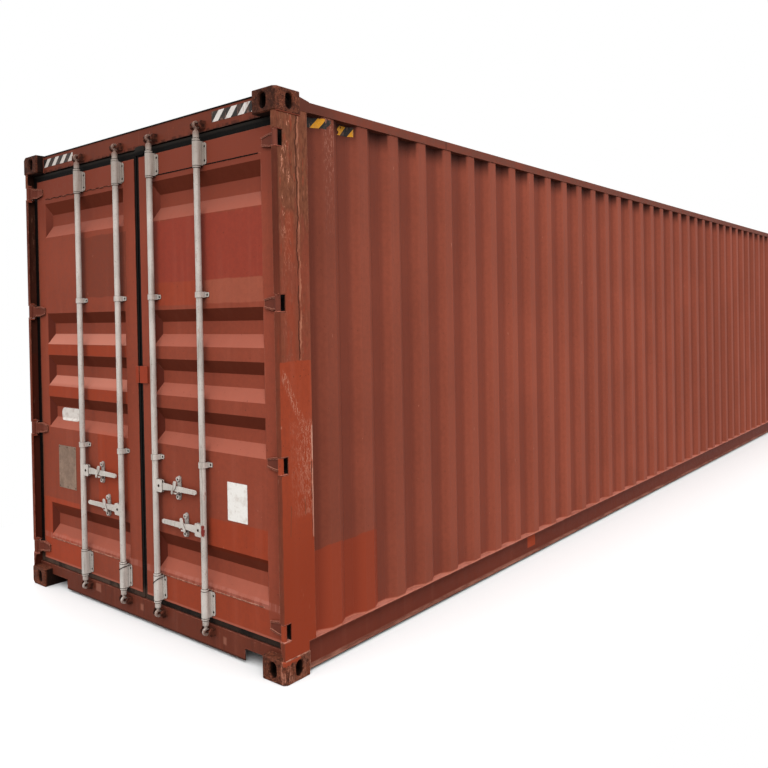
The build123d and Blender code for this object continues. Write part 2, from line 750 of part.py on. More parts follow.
def handle_rest(x, z):
    """Back plate with two ring lugs and a shelf under the bar."""
    y = -DOOR_FACE_Y
    yp = y - REST_T
    face = Plane.XZ.offset(-y) * (Pos(x, z) * Rot(0, 0, 90) * SlotOverall(REST_H, REST_W))
    body = extrude(face, REST_T)
    top = z - SHELF_DROP
    body += block(x - SHELF_W / 2, x + SHELF_W / 2, BAR_Y - BAR_T / 2, yp, top - SHELF_T, top)
    for dz in (RING_UP, -RING_UP):
        body += rod_y(x, z + dz, yp - RING_T, yp, RING_R)
        body -= rod_y(x, z + dz, yp - RING_T - 1, y + 1, RING_HOLE)
    return body


def rod_end(hat_z, cam_z, s):
    """Half outline of the turned end of a rod, from its cover out to its cam."""
    a = hat_z + s * COLLAR_GAP
    b = a + s * COLLAR_H
    c = cam_z - s * (CAM_R - CAM_WALL / 2)
    n = c - s * NECK_H
    g = s * GROOVE
    return [
        (ROD_R, a), (COLLAR_R, a), (COLLAR_R, b), (ROD_R - GROOVE, b + g), (ROD_R - GROOVE, b + 2 * g),
        (ROD_R, b + 3 * g), (ROD_R, n - s * SHOULDER), (NECK_R + GROOVE, n), (NECK_R, n), (NECK_R, c), (0, c),
    ]


def collar(hat_z, s):
    a = hat_z + s * COLLAR_GAP
    b = a + s * COLLAR_H
    return [(ROD_R, a), (COLLAR_R, a), (COLLAR_R, b - s * GROOVE), (ROD_R, b)]


def cam(x, z):
    """Hook that opens towards the keeper: a short ring with a mouth cut in it."""
    ring = Pos(x, ROD_Y, z) * Rot(0, 90, 0) * Cylinder(CAM_R, CAM_W)
    ring -= Pos(x, ROD_Y, z) * Rot(0, 90, 0) * Cylinder(CAM_R - CAM_WALL, CAM_W + 2)
    m = CAM_MOUTH / 2
    return ring - block(x - CAM_W, x + CAM_W, ROD_Y, ROD_Y + CAM_R + 1, z - m, z + m)


def lock_rod(x, hub_z, side):
    """Turned tube with collars, a hooked cam at each end and the cheeks for its handle."""
    low0, low1 = HAT_LOW_Z
    top0, top1 = HAT_TOP_Z
    outer = list(reversed(rod_end(low0, CAM_LOW_Z, -1.0)))
    outer += collar(low1, 1.0) + list(reversed(collar(top0, -1.0)))
    outer += rod_end(top1, CAM_TOP_Z, 1.0)
    rod = Pos(x, ROD_Y, 0) * revolve(Plane.XZ * outline(outer), Axis.Z)
    rod += cam(x, CAM_LOW_Z) + cam(x, CAM_TOP_Z) + hub(x, hub_z, side)
    return rod - rod_z(x, ROD_Y, low0, top1, ROD_BORE)


def hub(x, z, side):
    """Clevis cheeks and pivot pin beside the rod."""
    y0, y1 = BAR_Y - BAR_T / 2 - CHEEK_CLEAR, BAR_Y + BAR_T / 2 + CHEEK_CLEAR
    xc = x + side * (HUB_START + HUB_W / 2)
    shape = Pos(xc, z) * RectangleRounded(HUB_W, HUB_H, HUB_ROUND)
    cheeks = extrude(Plane.XZ.offset(-y0) * shape, CHEEK_T)
    cheeks += extrude(Plane.XZ.offset(-y1 - CHEEK_T) * shape, CHEEK_T)
    return cheeks + rod_y(x + side * HUB_X, z, y0 - CHEEK_T, y1 + CHEEK_T, PIN_R)


def bar_outline(x, z, side):
    """Edge of the flat handle, as distance from the rod and height over its middle."""
    reach, mid = HANDLE_REACH, CATCH_X
    points = [
        (HUB_X, EYE_R), (HUB_X + 34, 19), (mid - 58, 17), (mid - 24, 13), (mid + 14, 15),
        (mid + 76, 14), (reach - 10, 12), (reach, 4), (reach, -6), (reach - 10, -12),
        (mid + 76, -13), (mid + 32, -14), (mid + 24, -19), (mid + 14, -14), (mid - 24, -13),
        (mid - 58, -16), (HUB_X + 34, -20), (HUB_X, -EYE_R),
    ]
    return [(x + side * a, z + b) for a, b in points]


def seal_eye(x, z, side):
    """Edge of the leaning eye in front of the bar."""
    points = [
        (16, 36), (8, 44), (-4, 42), (-10, 32), (-14, 8), (-28, -12), (-30, -28), (-22, -34),
        (-14, -26), (-12, -14), (4, -2), (12, 14),
    ]
    return [(x + side * a, z + b) for a, b in points]


def handle(x, z, side):
    """Flat bar with a pivot eye, a grip and the seal eye that crosses the rest."""
    y0, y1 = BAR_Y - BAR_T / 2, BAR_Y + BAR_T / 2
    px = x + side * HUB_X
    bar = along_y(bar_outline(x, z, side), y0, y1) + rod_y(px, z, y0, y1, EYE_R)
    bar += along_y(seal_eye(x + side * CATCH_X, z, side), y0 - SEAL_EYE_T, y0)
    return bar - rod_y(px, z, y0 - 1, y1 + 1, PIN_R + PIN_CLEAR)


def seal_plate(reach):
    """Half of the bridge over the gap, on the right leaf."""
    y = -DOOR_FACE_Y
    z = LEAF_MID_Z + BRIDGE_UP
    z0, z1 = z - BRIDGE_H / 2, z + BRIDGE_H / 2
    plate = block(DOOR_GAP, reach, y - BRIDGE_OUT - BRIDGE_T, y - BRIDGE_OUT, z0, z1)
    foot = min(BRIDGE_FOOT, reach - LEAF_X0)
    return plate + block(reach - foot, reach, y - BRIDGE_OUT, y, z0, z1)


def data_plate():
    x, z, y = DATA_FROM_EDGE - LEAF_X1, LEAF_Z0 + DATA_UP, -DOOR_FACE_Y
    return block(x - DATA_W / 2, x + DATA_W / 2, y - DATA_T, y, z - DATA_H / 2, z + DATA_H / 2)


def door_nodes(name, rods):
    """Pieces of one leaf; the left leaf mirrors the right one except for its fittings."""
    flip = (lambda s: s) if name == "right" else mirror_x
    prefix = "door_" + name + "_"
    save(prefix + "frame", flip(door_frame()))
    save(prefix + "panel", flip(door_panel()))
    save(prefix + "gasket", flip(door_gasket()))
    save(prefix + "hinge_blades", [flip(hinge_blade(z)) for z in HINGE_Z])
    save(prefix + "rod_brackets", rod_brackets(rods))
    rests = []
    for key, z, index, side in HANDLES:
        x = rods[index]
        rests.append(handle_rest(x + side * CATCH_X, z))
        order = "inner" if abs(x) == ROD_X[0] else "outer"
        save("_".join(("lock_rod", name, order)), lock_rod(x, z, side))
        save("_".join(("handle", name, order)), handle(x, z, side))
    save(prefix + "handle_rests", rests)


def main():
    os.makedirs("parts", exist_ok=True)
    save("corner_castings_bottom", castings(0.0, False))
    save("corner_castings_top", castings(CAST_TOP_Z, True))
    save("rear_posts_outer", pair(rear_post_outer()))
    save("rear_posts_inner", pair(rear_post_inner()))
    save("front_posts", pair(front_post()))
    save("top_side_rails", pair(top_side_rail()))
    save("bottom_side_rails", pair(bottom_side_rail()))
    save("rear_header", rear_header())
    save("rear_sill", rear_sill())
    save("front_header", front_header())
    save("front_sill", front_sill())
    wall = side_wall()
    save("side_wall_right", wall)
    save("side_wall_left", mirror_x(wall))
    save("front_wall", front_wall())
    save("roof", roof())
    save("floor", floor())
    save("cross_members", cross_members())
    save("gooseneck_tunnel", gooseneck_tunnel())
    save("hinge_pins", hinge_pins())
    save("cam_keepers", cam_keepers())
    door_nodes("right", ROD_X)
    door_nodes("left", tuple(-x for x in reversed(ROD_X)))
    save("door_right_seal_plate", seal_plate(BRIDGE_RIGHT))
    save("door_left_seal_plate", mirror_x(seal_plate(BRIDGE_LEFT)))
    save("data_plate", data_plate())


main()
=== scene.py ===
import json
import math

import bmesh
import bpy
from bpy.props import FloatProperty, FloatVectorProperty, PointerProperty
from mathutils import Matrix, Vector, noise


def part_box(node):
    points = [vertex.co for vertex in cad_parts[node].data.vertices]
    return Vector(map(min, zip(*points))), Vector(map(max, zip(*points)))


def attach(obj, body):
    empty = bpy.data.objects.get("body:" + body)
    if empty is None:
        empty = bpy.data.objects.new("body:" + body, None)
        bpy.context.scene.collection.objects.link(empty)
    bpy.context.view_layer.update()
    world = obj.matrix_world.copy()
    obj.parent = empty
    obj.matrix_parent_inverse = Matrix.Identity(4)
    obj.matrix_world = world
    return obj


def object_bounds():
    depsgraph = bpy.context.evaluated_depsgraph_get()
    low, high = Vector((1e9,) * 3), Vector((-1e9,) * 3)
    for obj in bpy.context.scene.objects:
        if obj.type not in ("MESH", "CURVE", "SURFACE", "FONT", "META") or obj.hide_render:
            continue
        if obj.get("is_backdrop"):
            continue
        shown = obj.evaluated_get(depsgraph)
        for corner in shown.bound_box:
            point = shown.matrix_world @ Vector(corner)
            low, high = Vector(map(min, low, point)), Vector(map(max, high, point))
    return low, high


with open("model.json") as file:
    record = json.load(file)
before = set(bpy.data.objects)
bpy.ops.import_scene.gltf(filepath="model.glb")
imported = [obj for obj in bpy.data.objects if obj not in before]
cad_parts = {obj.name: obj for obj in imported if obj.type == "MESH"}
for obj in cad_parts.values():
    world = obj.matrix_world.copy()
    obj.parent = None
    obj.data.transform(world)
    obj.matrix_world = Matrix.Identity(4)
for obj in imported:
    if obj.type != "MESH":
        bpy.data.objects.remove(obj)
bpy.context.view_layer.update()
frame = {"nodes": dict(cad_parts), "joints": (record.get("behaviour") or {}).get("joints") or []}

bl_info = {
    "name": "Weathered freight container",
    "version": (1, 0, 0),
    "blender": (4, 5, 0),
    "location": "3D View > Sidebar > Container",
    "description": "Finishes, fittings, labels and stage for a forty-foot high-cube container",
    "category": "Object",
}

# Places taken from the loaded frame
LOW, HIGH = (Vector(corner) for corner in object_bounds())
END_Y, SIDE_X = LOW.y, HIGH.x
FRAME_LOW, FRAME_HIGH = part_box("door_right_frame")
PANEL_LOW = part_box("door_right_panel")[0]
HEADER_LOW, HEADER_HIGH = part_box("rear_header")
DOOR_Y, HEADER_Y, HEADER_TOP = FRAME_LOW.y, HEADER_LOW.y, HEADER_HIGH.z
CAST_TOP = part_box("corner_castings_bottom")[1].z
CAST_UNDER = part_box("corner_castings_top")[0].z
CAST_END_Y = END_Y + 0.178
CAST_INNER_X = HEADER_HIGH.x - 0.111
RAIL_LOW, RAIL_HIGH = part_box("top_side_rails")
BASE_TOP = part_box("bottom_side_rails")[1].z
WALL_LOW, WALL_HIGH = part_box("side_wall_right")
POST_LOW, POST_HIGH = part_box("rear_posts_outer")
SILL_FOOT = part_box("rear_sill")[0].z

# Sizes that several pieces share
SIDES = (-1, 1)
LEAVES = ("right", "left")
HINGES = (2.650, 1.852, 1.062, 0.252)
KNUCKLE_HALF = 0.040
HUB_HALF = 0.0080
NEAR_X = 1.19
POST_PAINT_Z = 1.567
FLANGE_X = 0.034
HEADER_BEAD_TOP = 2.886
SOFT_FOLD, SHARP_FOLD = 1.2, 0.6
COVER_SPANS = ((0.184, 0.324), (0.986, 1.016), (1.896, 1.926), (2.598, 2.726))
# Heights of the painted shadow rings on the rods at their collars
COLLARS = (2.5950, 2.5850, 2.7285, 2.7400, 0.3265, 0.3370, 0.1810, 0.1700)
POCKET_DEPTH, POCKET_SLOPE = 0.036, 0.068
RIB_FIRST, RIB_PITCH, RIB_HALF, RIB_SLOPE, RIB_DEPTH = END_Y + 0.397, 0.278, 0.036, 0.068, 0.036
OPEN = (None, None, None)


def rgb(red, green, blue):
    """A colour as it looks on screen, in the values that a shader needs."""
    return tuple(((c / 255 + 0.055) / 1.055) ** 2.4 if c > 10 else c / 3294.6 for c in (red, green, blue))


def toned(colour, share):
    """The same colour, lighter or darker."""
    return tuple(part * share for part in colour)


# Settings that a user would change


class ContainerPaint(bpy.types.PropertyGroup):
    body: FloatVectorProperty(name="Body", description="Old paint on walls and doors",
                              default=rgb(139, 66, 48), subtype="COLOR", size=3)
    fresh: FloatVectorProperty(name="Touch-up", description="Newer paint on the repaired areas",
                               default=rgb(152, 64, 39), subtype="COLOR", size=3)
    chalk: FloatVectorProperty(name="Chalking", description="Faded paint on faces that look up",
                               default=rgb(178, 105, 87), subtype="COLOR", size=3)
    grime: FloatVectorProperty(name="Grime", description="Dirt that gathers in runs and corners",
                               default=rgb(92, 47, 36), subtype="COLOR", size=3)
    rust: FloatVectorProperty(name="Rust", description="Rust that shows where the paint is gone",
                              default=rgb(86, 48, 34), subtype="COLOR", size=3)
    scrape: FloatVectorProperty(name="Scrapes", description="Bright marks left by scrapes",
                                default=rgb(190, 128, 106), subtype="COLOR", size=3)
    zinc: FloatVectorProperty(name="Lock gear", description="Dull light grey of the lock gear",
                              default=rgb(203, 195, 187), subtype="COLOR", size=3)
    rubber: FloatVectorProperty(name="Seal", description="Black rubber of the door seal",
                                default=rgb(13, 11, 10), subtype="COLOR", size=3)
    wear: FloatProperty(name="Edge wear", description="Width of the wear along edges", default=0.004,
                        min=0.0, max=0.02, subtype="DISTANCE", unit="LENGTH")


class ContainerFittings(bpy.types.PropertyGroup):
    rivet: FloatProperty(name="Rivet radius", description="Radius of a rivet head on the covers",
                         default=0.0072, min=0.002, max=0.02, subtype="DISTANCE", unit="LENGTH")
    bead: FloatProperty(name="Weld radius", description="Radius of a weld bead", default=0.004,
                        min=0.001, max=0.01, subtype="DISTANCE", unit="LENGTH")
    wire: FloatProperty(name="Wire radius", description="Radius of the tie wire", default=0.0022,
                        min=0.0005, max=0.005, subtype="DISTANCE", unit="LENGTH")


class ContainerStage(bpy.types.PropertyGroup):
    floor: FloatVectorProperty(name="Floor", description="Colour of the pale floor",
                               default=(0.86, 0.86, 0.86), subtype="COLOR", size=3)
    horizon: FloatProperty(name="Low light", description="Strength of the soft light near the floor",
                           default=0.62, min=0.0, max=10.0)
    zenith: FloatProperty(name="Overhead light", description="Strength that is added overhead",
                          default=1.65, min=0.0, max=10.0)
    lamp: FloatProperty(name="Lamp", description="Power of the large lamp before the near corner",
                        default=700.0, min=0.0, max=50000.0, unit="POWER")
    lens: FloatProperty(name="Lens", description="Focal length of the camera in millimetres",
                        default=36.598, min=10.0, max=200.0)


# Shader helpers


class Field:
    """A value that a shader works out at every point, with the sums that finishes need."""

    def __init__(self, maker, socket):
        self.maker, self.socket = maker, socket

    def __add__(self, other):
        return self.maker.reckon("ADD", self, other)

    def __sub__(self, other):
        return self.maker.reckon("SUBTRACT", self, other)

    def __rsub__(self, other):
        return self.maker.reckon("SUBTRACT", other, self)

    def __mul__(self, other):
        return self.maker.reckon("MULTIPLY", self, other)

    def __abs__(self):
        return self.maker.reckon("ABSOLUTE", self)

    def most(self, other):
        return self.maker.reckon("MAXIMUM", self, other)

    def ramp(self, low, high, start=0.0, end=1.0):
        """From start to end as this value goes from low to high, eased at both ends."""
        ends = {"Value": self, "From Min": low, "From Max": high, "To Min": start, "To Max": end}
        return self.maker.take("MapRange", ends, interpolation_type="SMOOTHSTEP")


class Nodes:
    """A node tree in the making."""

    def __init__(self, tree, space="Object"):
        self.tree = tree
        self.place = self.take("TexCoord", out=space)
        self.x, self.y, self.z = self.split(self.place)

    def node(self, kind, inputs=None, **settings):
        """New node with these settings, and with its inputs linked or set."""
        node = self.tree.nodes.new("ShaderNode" + kind)
        for key, value in settings.items():
            setattr(node, key, value)
        for key, value in (inputs or {}).items():
            self.feed(node.inputs[key], value)
        return node

    def take(self, kind, inputs=None, out=0, **settings):
        """One output of a new node."""
        return Field(self, self.node(kind, inputs, **settings).outputs[out])

    def feed(self, socket, value):
        """Links a field, or sets the value that a socket holds."""
        if isinstance(value, Field):
            self.tree.links.new(value.socket, socket)
        elif socket.type == "RGBA":
            socket.default_value = (*value, 1.0)
        else:
            socket.default_value = value

    def split(self, vector):
        """The three parts of a vector."""
        return [Field(self, part) for part in self.node("SeparateXYZ", {0: vector}).outputs]

    def reckon(self, operation, *values):
        return self.take("Math", dict(enumerate(values)), operation=operation)

    def blend(self, share, first, second, mode="MIX"):
        return self.take("Mix", {0: share, 6: first, 7: second}, 2, data_type="RGBA", blend_type=mode)

    def seen(self):
        """1 for what the camera sees, straight or in metal and glass."""
        rays = self.node("LightPath").outputs
        camera, glossy, through = (Field(self, rays["Is " + kind + " Ray"])
                                   for kind in ("Camera", "Glossy", "Transmission"))
        return camera.most(glossy.most(through))

    def show(self, share, first, second, output):
        """Mixes two shaders and leads them to the output."""
        mixed = self.take("MixShader", {0: share, 1: first, 2: second})
        self.feed(self.tree.nodes[output].inputs["Surface"], mixed)


class Finish(Nodes):
    """A material in the making, coat by coat."""

    def __init__(self, name, paint=None):
        self.name, self.paint = name, paint
        self.material = bpy.data.materials.new(name)
        self.material.use_nodes = True
        super().__init__(self.material.node_tree)
        self.shader = self.tree.nodes["Principled BSDF"]
        self.colour = self.height = self.waver = None

    def grain(self, scale, detail=4.0, rough=0.55, stretch=None, shift=(0.0, 0.0, 0.0)):
        """Noise with its own stretch, so that it can run down a face."""
        place = self.place
        if stretch:
            place = self.take("Mapping", {"Vector": place, "Scale": stretch, "Location": shift})
        inputs = {"Vector": place, "Scale": scale, "Detail": detail, "Roughness": rough}
        return self.take("TexNoise", inputs)

    def facing(self, kind="True Normal"):
        return self.take("NewGeometry", out=kind)

    def worn_edge(self, radius):
        """1 along sharp outer edges, 0 on open faces."""
        soft = self.take("Bevel", {"Radius": radius}, samples=6)
        pair = {0: soft, 1: self.facing("Normal")}
        return self.take("VectorMath", pair, "Value", operation="DOT_PRODUCT").ramp(0.99, 0.80)

    def crevice(self, reach, low=0.30, high=0.80):
        """1 in corners and close behind other parts, 0 on open faces."""
        return self.take("AmbientOcclusion", {"Distance": reach}, "AO", samples=6).ramp(high, low)

    def zone(self, low, high, edge=0.006, waver=None):
        """1 inside a box, with its border moved about by the waver."""
        inside = None
        for axis, least, most in zip((self.x, self.y, self.z), low, high):
            if least is None and most is None:
                continue
            at = axis + waver if waver else axis
            for limit, ends in ((least, (0.0, 1.0)), (most, (1.0, 0.0))):
                if limit is not None:
                    side = at.ramp(limit - edge, limit + edge, *ends)
                    inside = inside * side if inside else side
        return inside

    def patch(self, low, high, edge=0.006):
        """A zone with the uneven border of this finish."""
        return self.zone(low, high, edge, self.waver)

    def scrapes(self, scale, stretch, shift, width):
        """Thin curved lines, where a noise passes through its middle value."""
        return abs(self.grain(scale, 3.0, 0.55, stretch, shift) - 0.5).ramp(width, width * 0.3)

    def coat(self, share, colour, mode="MIX"):
        """Lays a colour over what is there."""
        self.colour = self.blend(share, self.colour, colour, mode)

    def shade(self, level):
        """Makes what is there darker or lighter."""
        self.coat(1.0, self.take("CombineColor", {0: level, 1: level, 2: level}), "MULTIPLY")

    def close(self, texture, smooth, rough, height, strength, distance, **plain):
        """Feeds the shader, adds the relief and keeps the material under its name."""
        values = {"Base Color": self.colour, "Roughness": texture.ramp(0.3, 0.7, smooth, rough)}
        values["Normal"] = self.take("Bump", {"Strength": strength, "Distance": distance, "Height": height})
        values.update((key.replace("_", " "), value) for key, value in plain.items())
        for key, value in values.items():
            self.feed(self.shader.inputs[key], value)
        FINISH[self.name] = self.material


# Finishes

FINISH = {}


def painted_steel(name, paint, base, marks=None, patches=(), runs=0.2, spots=0.67, chalk=0.85,
                  wear=0.5, wear_and_highlight_rim=None, painted_shade=0.5):
    """Old paint on steel: faded and streaked, chalky where it looks up, with painted shade where it looks down
    and in corners.
    """
    f = Finish(name, paint)
    f.aside, _, f.up = f.split(f.facing())
    broad = f.grain(1.3, 3.0)
    fine = f.grain(38.0, 5.0, 0.65)
    streaks = f.grain(11.0, 5.0, 0.6, (1.0, 1.0, 0.06))
    chips = f.grain(46.0, 3.0, 0.5, (1.0, 1.0, 0.35), (1.3, 0.7, 2.1))
    f.waver = (f.grain(9.0, 3.0) - 0.5) * 0.02

    f.colour = f.blend(broad.ramp(0.36, 0.64), toned(base, 0.93), toned(base, 1.06))
    for low, high, tone, share in patches:
        f.coat(f.patch(low, high, 0.004) * share, tone)
    f.shade(fine.ramp(0.35, 0.65, 0.94, 1.05))
    f.coat(streaks.ramp(0.52, 0.74) * runs, paint.grime)
    f.coat(streaks.ramp(0.46, 0.30) * (runs * 0.5), paint.chalk)
    f.coat(f.up.ramp(0.12, 0.75) * broad.ramp(0.2, 0.6, 0.7, 1.0) * chalk, paint.chalk)
    # Painted shade on faces that look down, which also lowers their sheen
    underside_shade = f.up.ramp(-0.05, -0.40, 0.0, 0.61)
    f.coat(underside_shade, toned(base, 0.25))
    pits = f.grain(70.0, 4.0, 0.6).ramp(spots, spots + 0.05)
    f.coat(pits * 0.8, paint.rust)
    f.coat(chips.ramp(spots + 0.075, spots + 0.10) * 0.5, paint.scrape)
    # Painted shade in corners and close behind other parts
    if painted_shade:
        f.coat(f.crevice(0.045) * painted_shade, toned(base, 0.15))
    f.height = fine * 0.5 + pits * -0.6
    if marks:
        marks(f)
    # With a rim width, every outer edge gets an even pale line, worn paint and painted highlight together;
    # without one, the edges wear in patches
    if wear_and_highlight_rim:
        edge, least = f.worn_edge(wear_and_highlight_rim), 0.75
    else:
        edge, least = f.worn_edge(paint.wear) * f.grain(24.0, 4.0).ramp(0.35, 0.62), 0.0
    bare = f.blend(streaks.ramp(0.42, 0.55, least), paint.rust, paint.scrape)
    f.coat(edge * wear, bare)
    f.close(fine, 0.55, 0.72, f.height, 0.35, 0.0016, Specular_IOR_Level=underside_shade * -0.12 + 0.080)


def post_marks(f):
    """Rust, scratches and a long gouge on the old paint of a post, scrapes on its newer paint."""
    face = f.y.ramp(POST_LOW.y + 0.003, POST_LOW.y + 0.007)
    old = f.patch((None, None, POST_PAINT_Z), OPEN, 0.004)
    bare = old.most(1.0 - face)
    blotch = f.grain(16.0, 7.0, 0.7, (1.0, 1.0, 0.32), (0.3, 2.2, 1.4))
    mottle = f.grain(60.0, 6.0, 0.7, (1.0, 1.0, 0.4)).ramp(0.36, 0.64)
    worn = f.z.ramp(2.05, 2.42, 0.42, 1.0)
    share = (blotch + f.z.ramp(2.05, 2.50, 0.0, 0.06)).ramp(0.42, 0.54, 0.25, 0.9) * worn
    f.coat(bare * share, f.blend(mottle, rgb(100, 57, 39), rgb(127, 76, 53)))
    streak = f.grain(90.0, 6.0, 0.65, (1.0, 1.0, 0.16), (3.1, 1.7, 0.4))
    f.coat(bare * worn * streak.ramp(0.57, 0.66, 0.0, 0.45), rgb(172, 108, 86))
    dark = bare * worn * streak.ramp(0.41, 0.32, 0.0, 0.45)
    f.coat(dark, rgb(66, 32, 24))

    # Flaked band, gouge and its dark lip, all on one wavering line
    along = f.y + (f.grain(4.5, 4.0, 0.6, (0.0, 0.0, 1.4)) - 0.5) * 0.062
    flaked = f.scrapes(52.0, (1.0, 1.0, 0.34), (0.0, 2.0, 5.0), 0.034)
    flaked *= f.grain(30.0, 4.0, 0.6, (1.0, 1.0, 0.3)).ramp(0.46, 0.56)
    band = along.ramp(-6.064, -6.048) * along.ramp(-5.980, -6.000) * f.z.ramp(1.90, 2.45, 0.15, 1.0)
    f.coat(band * old * flaked, rgb(200, 134, 108))
    ragged = f.grain(60.0, 6.0, 0.7, (1.0, 1.0, 0.15), (1.0, 6.0, 0.0))
    gouge = (abs(along + 5.938) - (ragged - 0.5) * 0.040).ramp(0.0065, 0.0030)
    gouge *= old * ragged.ramp(0.36, 0.50, 0.15, 1.0)
    gouge *= flaked.ramp(0.0, 1.0, 0.75, 1.0) * blotch.ramp(0.60, 0.50, 0.45, 1.0)
    f.coat(gouge * 0.85, rgb(186, 120, 94))
    lip = abs(along + 5.951).ramp(0.0045, 0.0020) * old * blotch.ramp(0.38, 0.50, 0.2, 0.9)
    f.coat(lip, rgb(60, 28, 20))
    warm = old * f.grain(24.0, 5.0, 0.7, (1.0, 1.0, 0.2), (7.0, 0.0, 3.0)).ramp(0.58, 0.64)
    left = f.patch((None, -6.040, None), (None, -5.975, 2.30), 0.02)
    f.coat(warm.most(left * old * blotch.ramp(0.46, 0.54)) * 0.6, rgb(146, 62, 40))

    # Web of scrapes on the newer paint, and cuts along its rear edge
    near = abs(f.y * 1.884 + f.z + 9.930).ramp(0.060, 0.030)
    near *= f.zone((NEAR_X, -6.078, 1.13), (None, None, 1.52), 0.02)
    rubbed = f.patch((NEAR_X, -6.025, 0.80), (None, None, 1.27), 0.012) * f.y.ramp(-6.03, -5.89, 0.25, 1.0)
    web = f.scrapes(46.0, (1.0, 1.0, 0.40), (0.0, 1.0, 0.5), 0.020)
    web = web.most(f.scrapes(70.0, (1.0, 1.0, 0.14), (2.0, 0.0, 0.0), 0.022)) * near.most(rubbed)
    f.coat(web * 0.75, f.paint.scrape)
    rear = f.patch((NEAR_X, -5.877, 0.68), (None, -5.866, 1.24), 0.003)
    f.coat(rear * streak.ramp(0.40, 0.52, 0.2, 0.9), rgb(206, 154, 134))
    crack = f.patch((NEAR_X, -5.884, 0.66), (None, -5.878, 1.06), 0.002)
    f.coat(crack * streak.ramp(0.42, 0.50, 0.2, 0.8), rgb(58, 30, 22))
    for y, z0, z1 in ((-6.031, 0.715, 0.860), (-5.930, 0.800, 0.880)):
        f.coat(f.patch((NEAR_X, y - 0.003, z0), (None, y + 0.003, z1), 0.002) * 0.8, rgb(104, 66, 48))
    f.coat(f.z.ramp(1.10, 0.45, 0.0, 0.8) * (1.0 - bare), rgb(138, 54, 31))

    # Dark narrow front, and painted shade in the hollow behind the skin
    front = f.y.ramp(POST_LOW.y + 0.024, POST_LOW.y + 0.010) * f.z.ramp(2.64, 2.58, 0.25, 0.86)
    f.coat(front * f.z.ramp(POST_PAINT_Z, 2.20, 0.50, 1.0) * bare, rgb(84, 35, 23))
    # Near black in the hollow: painted shade
    hollow = abs(f.x).ramp(POST_HIGH.x - 0.0045, POST_HIGH.x - 0.0058) * face
    f.coat(hollow * f.z.ramp(2.54, 2.60, 0.80, 0.95), rgb(30, 14, 10))
    f.height = (dark + lip + web) * -0.7 + (gouge * 0.3 + f.height)


def wall_marks(f):
    """Painted shade in the grooves, painted shade and grime under the rail, newer paint and scrapes under the
    label.
    """
    out = abs(f.x)
    crest = out.ramp(SIDE_X - 0.022, SIDE_X - 0.012)
    # Grooves darker than the ribs: painted shade
    f.coat(out.ramp(SIDE_X - 0.030, SIDE_X - 0.044) * 0.40, rgb(96, 46, 37))
    f.coat(crest * 0.06, f.paint.chalk)
    # Darker near the corner post and lighter further along the wall: painted shade and painted light
    f.shade(f.y.ramp(-5.92, -5.35, 0.76, 1.0) * f.y.ramp(-5.20, -3.20, 1.0, 1.22))
    rib = out.ramp(1.175, 1.205)
    low = (f.z - rib * 0.020).ramp(0.591, 0.585) * f.zone((1.10, None, None), (None, -5.316, None), 0.003)
    f.coat(low * 0.93, f.blend(rib, rgb(135, 56, 36), rgb(145, 61, 39)))
    f.coat(f.z.ramp(WALL_LOW.z + 0.012, WALL_LOW.z + 0.003) * 0.7, rgb(196, 126, 104))
    # Painted shade and grime under the top rail, deeper in the grooves than on the ribs
    painted_shade = f.z.ramp(RAIL_LOW.z - 0.16, RAIL_LOW.z - 0.015)
    f.coat(painted_shade * painted_shade * crest.ramp(0.0, 1.0, 0.80, 0.15), rgb(48, 22, 17))
    cuts = f.grain(120.0, 6.0, 0.7, (1.0, 1.0, 0.26), (3.1, 1.7, 0.4))
    torn = f.patch((NEAR_X, -5.735, 2.20), (None, -5.650, 2.82), 0.012) * f.z.ramp(2.30, 2.72, 0.20, 1.0)
    bright = torn * cuts.ramp(0.54, 0.60)
    f.coat(bright * 0.62, rgb(190, 132, 112))
    f.coat(torn * cuts.ramp(0.42, 0.35) * 0.5, f.paint.rust)
    f.height = bright * -0.6 + f.height


def rail_marks(f):
    """Browner steel beside the castings, a joint in the top rail, scuffs and painted shade on the lower one."""
    top = f.z.ramp(RAIL_LOW.z - 0.01, RAIL_LOW.z)
    blotch = f.grain(20.0, 6.0, 0.7, (1.0, 0.5, 1.0))
    f.coat(top * blotch.ramp(0.36, 0.60, 0.35, 0.9), rgb(112, 64, 51))
    f.coat(top * f.y.ramp(CAST_END_Y + 0.40, CAST_END_Y + 0.10, 0.0, 0.85), rgb(90, 48, 37))
    f.coat(top * abs(f.y + 4.609).ramp(0.0045, 0.0020), rgb(44, 22, 17))
    # The web of the lower rail, under its top flange, darker: painted shade
    web = f.z.ramp(BASE_TOP + 0.003, BASE_TOP - 0.003) * f.z.ramp(0.024, 0.030)
    f.coat(web * 0.55, rgb(88, 40, 30))
    runs = f.grain(22.0, 5.0, 0.65, (1.0, 0.25, 1.0))
    foot = f.blend(runs.ramp(0.38, 0.64), rgb(112, 70, 58), rgb(158, 112, 95))
    f.coat(f.z.ramp(0.030, 0.022) * 0.8, foot)
    f.coat(f.z.ramp(0.0175, 0.0160), rgb(42, 25, 20))
    ledge = f.z.ramp(BASE_TOP - 0.0015, BASE_TOP - 0.0003) * f.z.ramp(0.30, 0.20)
    f.coat(ledge * runs.ramp(0.36, 0.56, 0.20, 0.60), rgb(202, 132, 114))
    f.coat(f.patch((1.15, -3.545, 0.060), (None, -3.430, 0.160), 0.004), rgb(164, 66, 38))


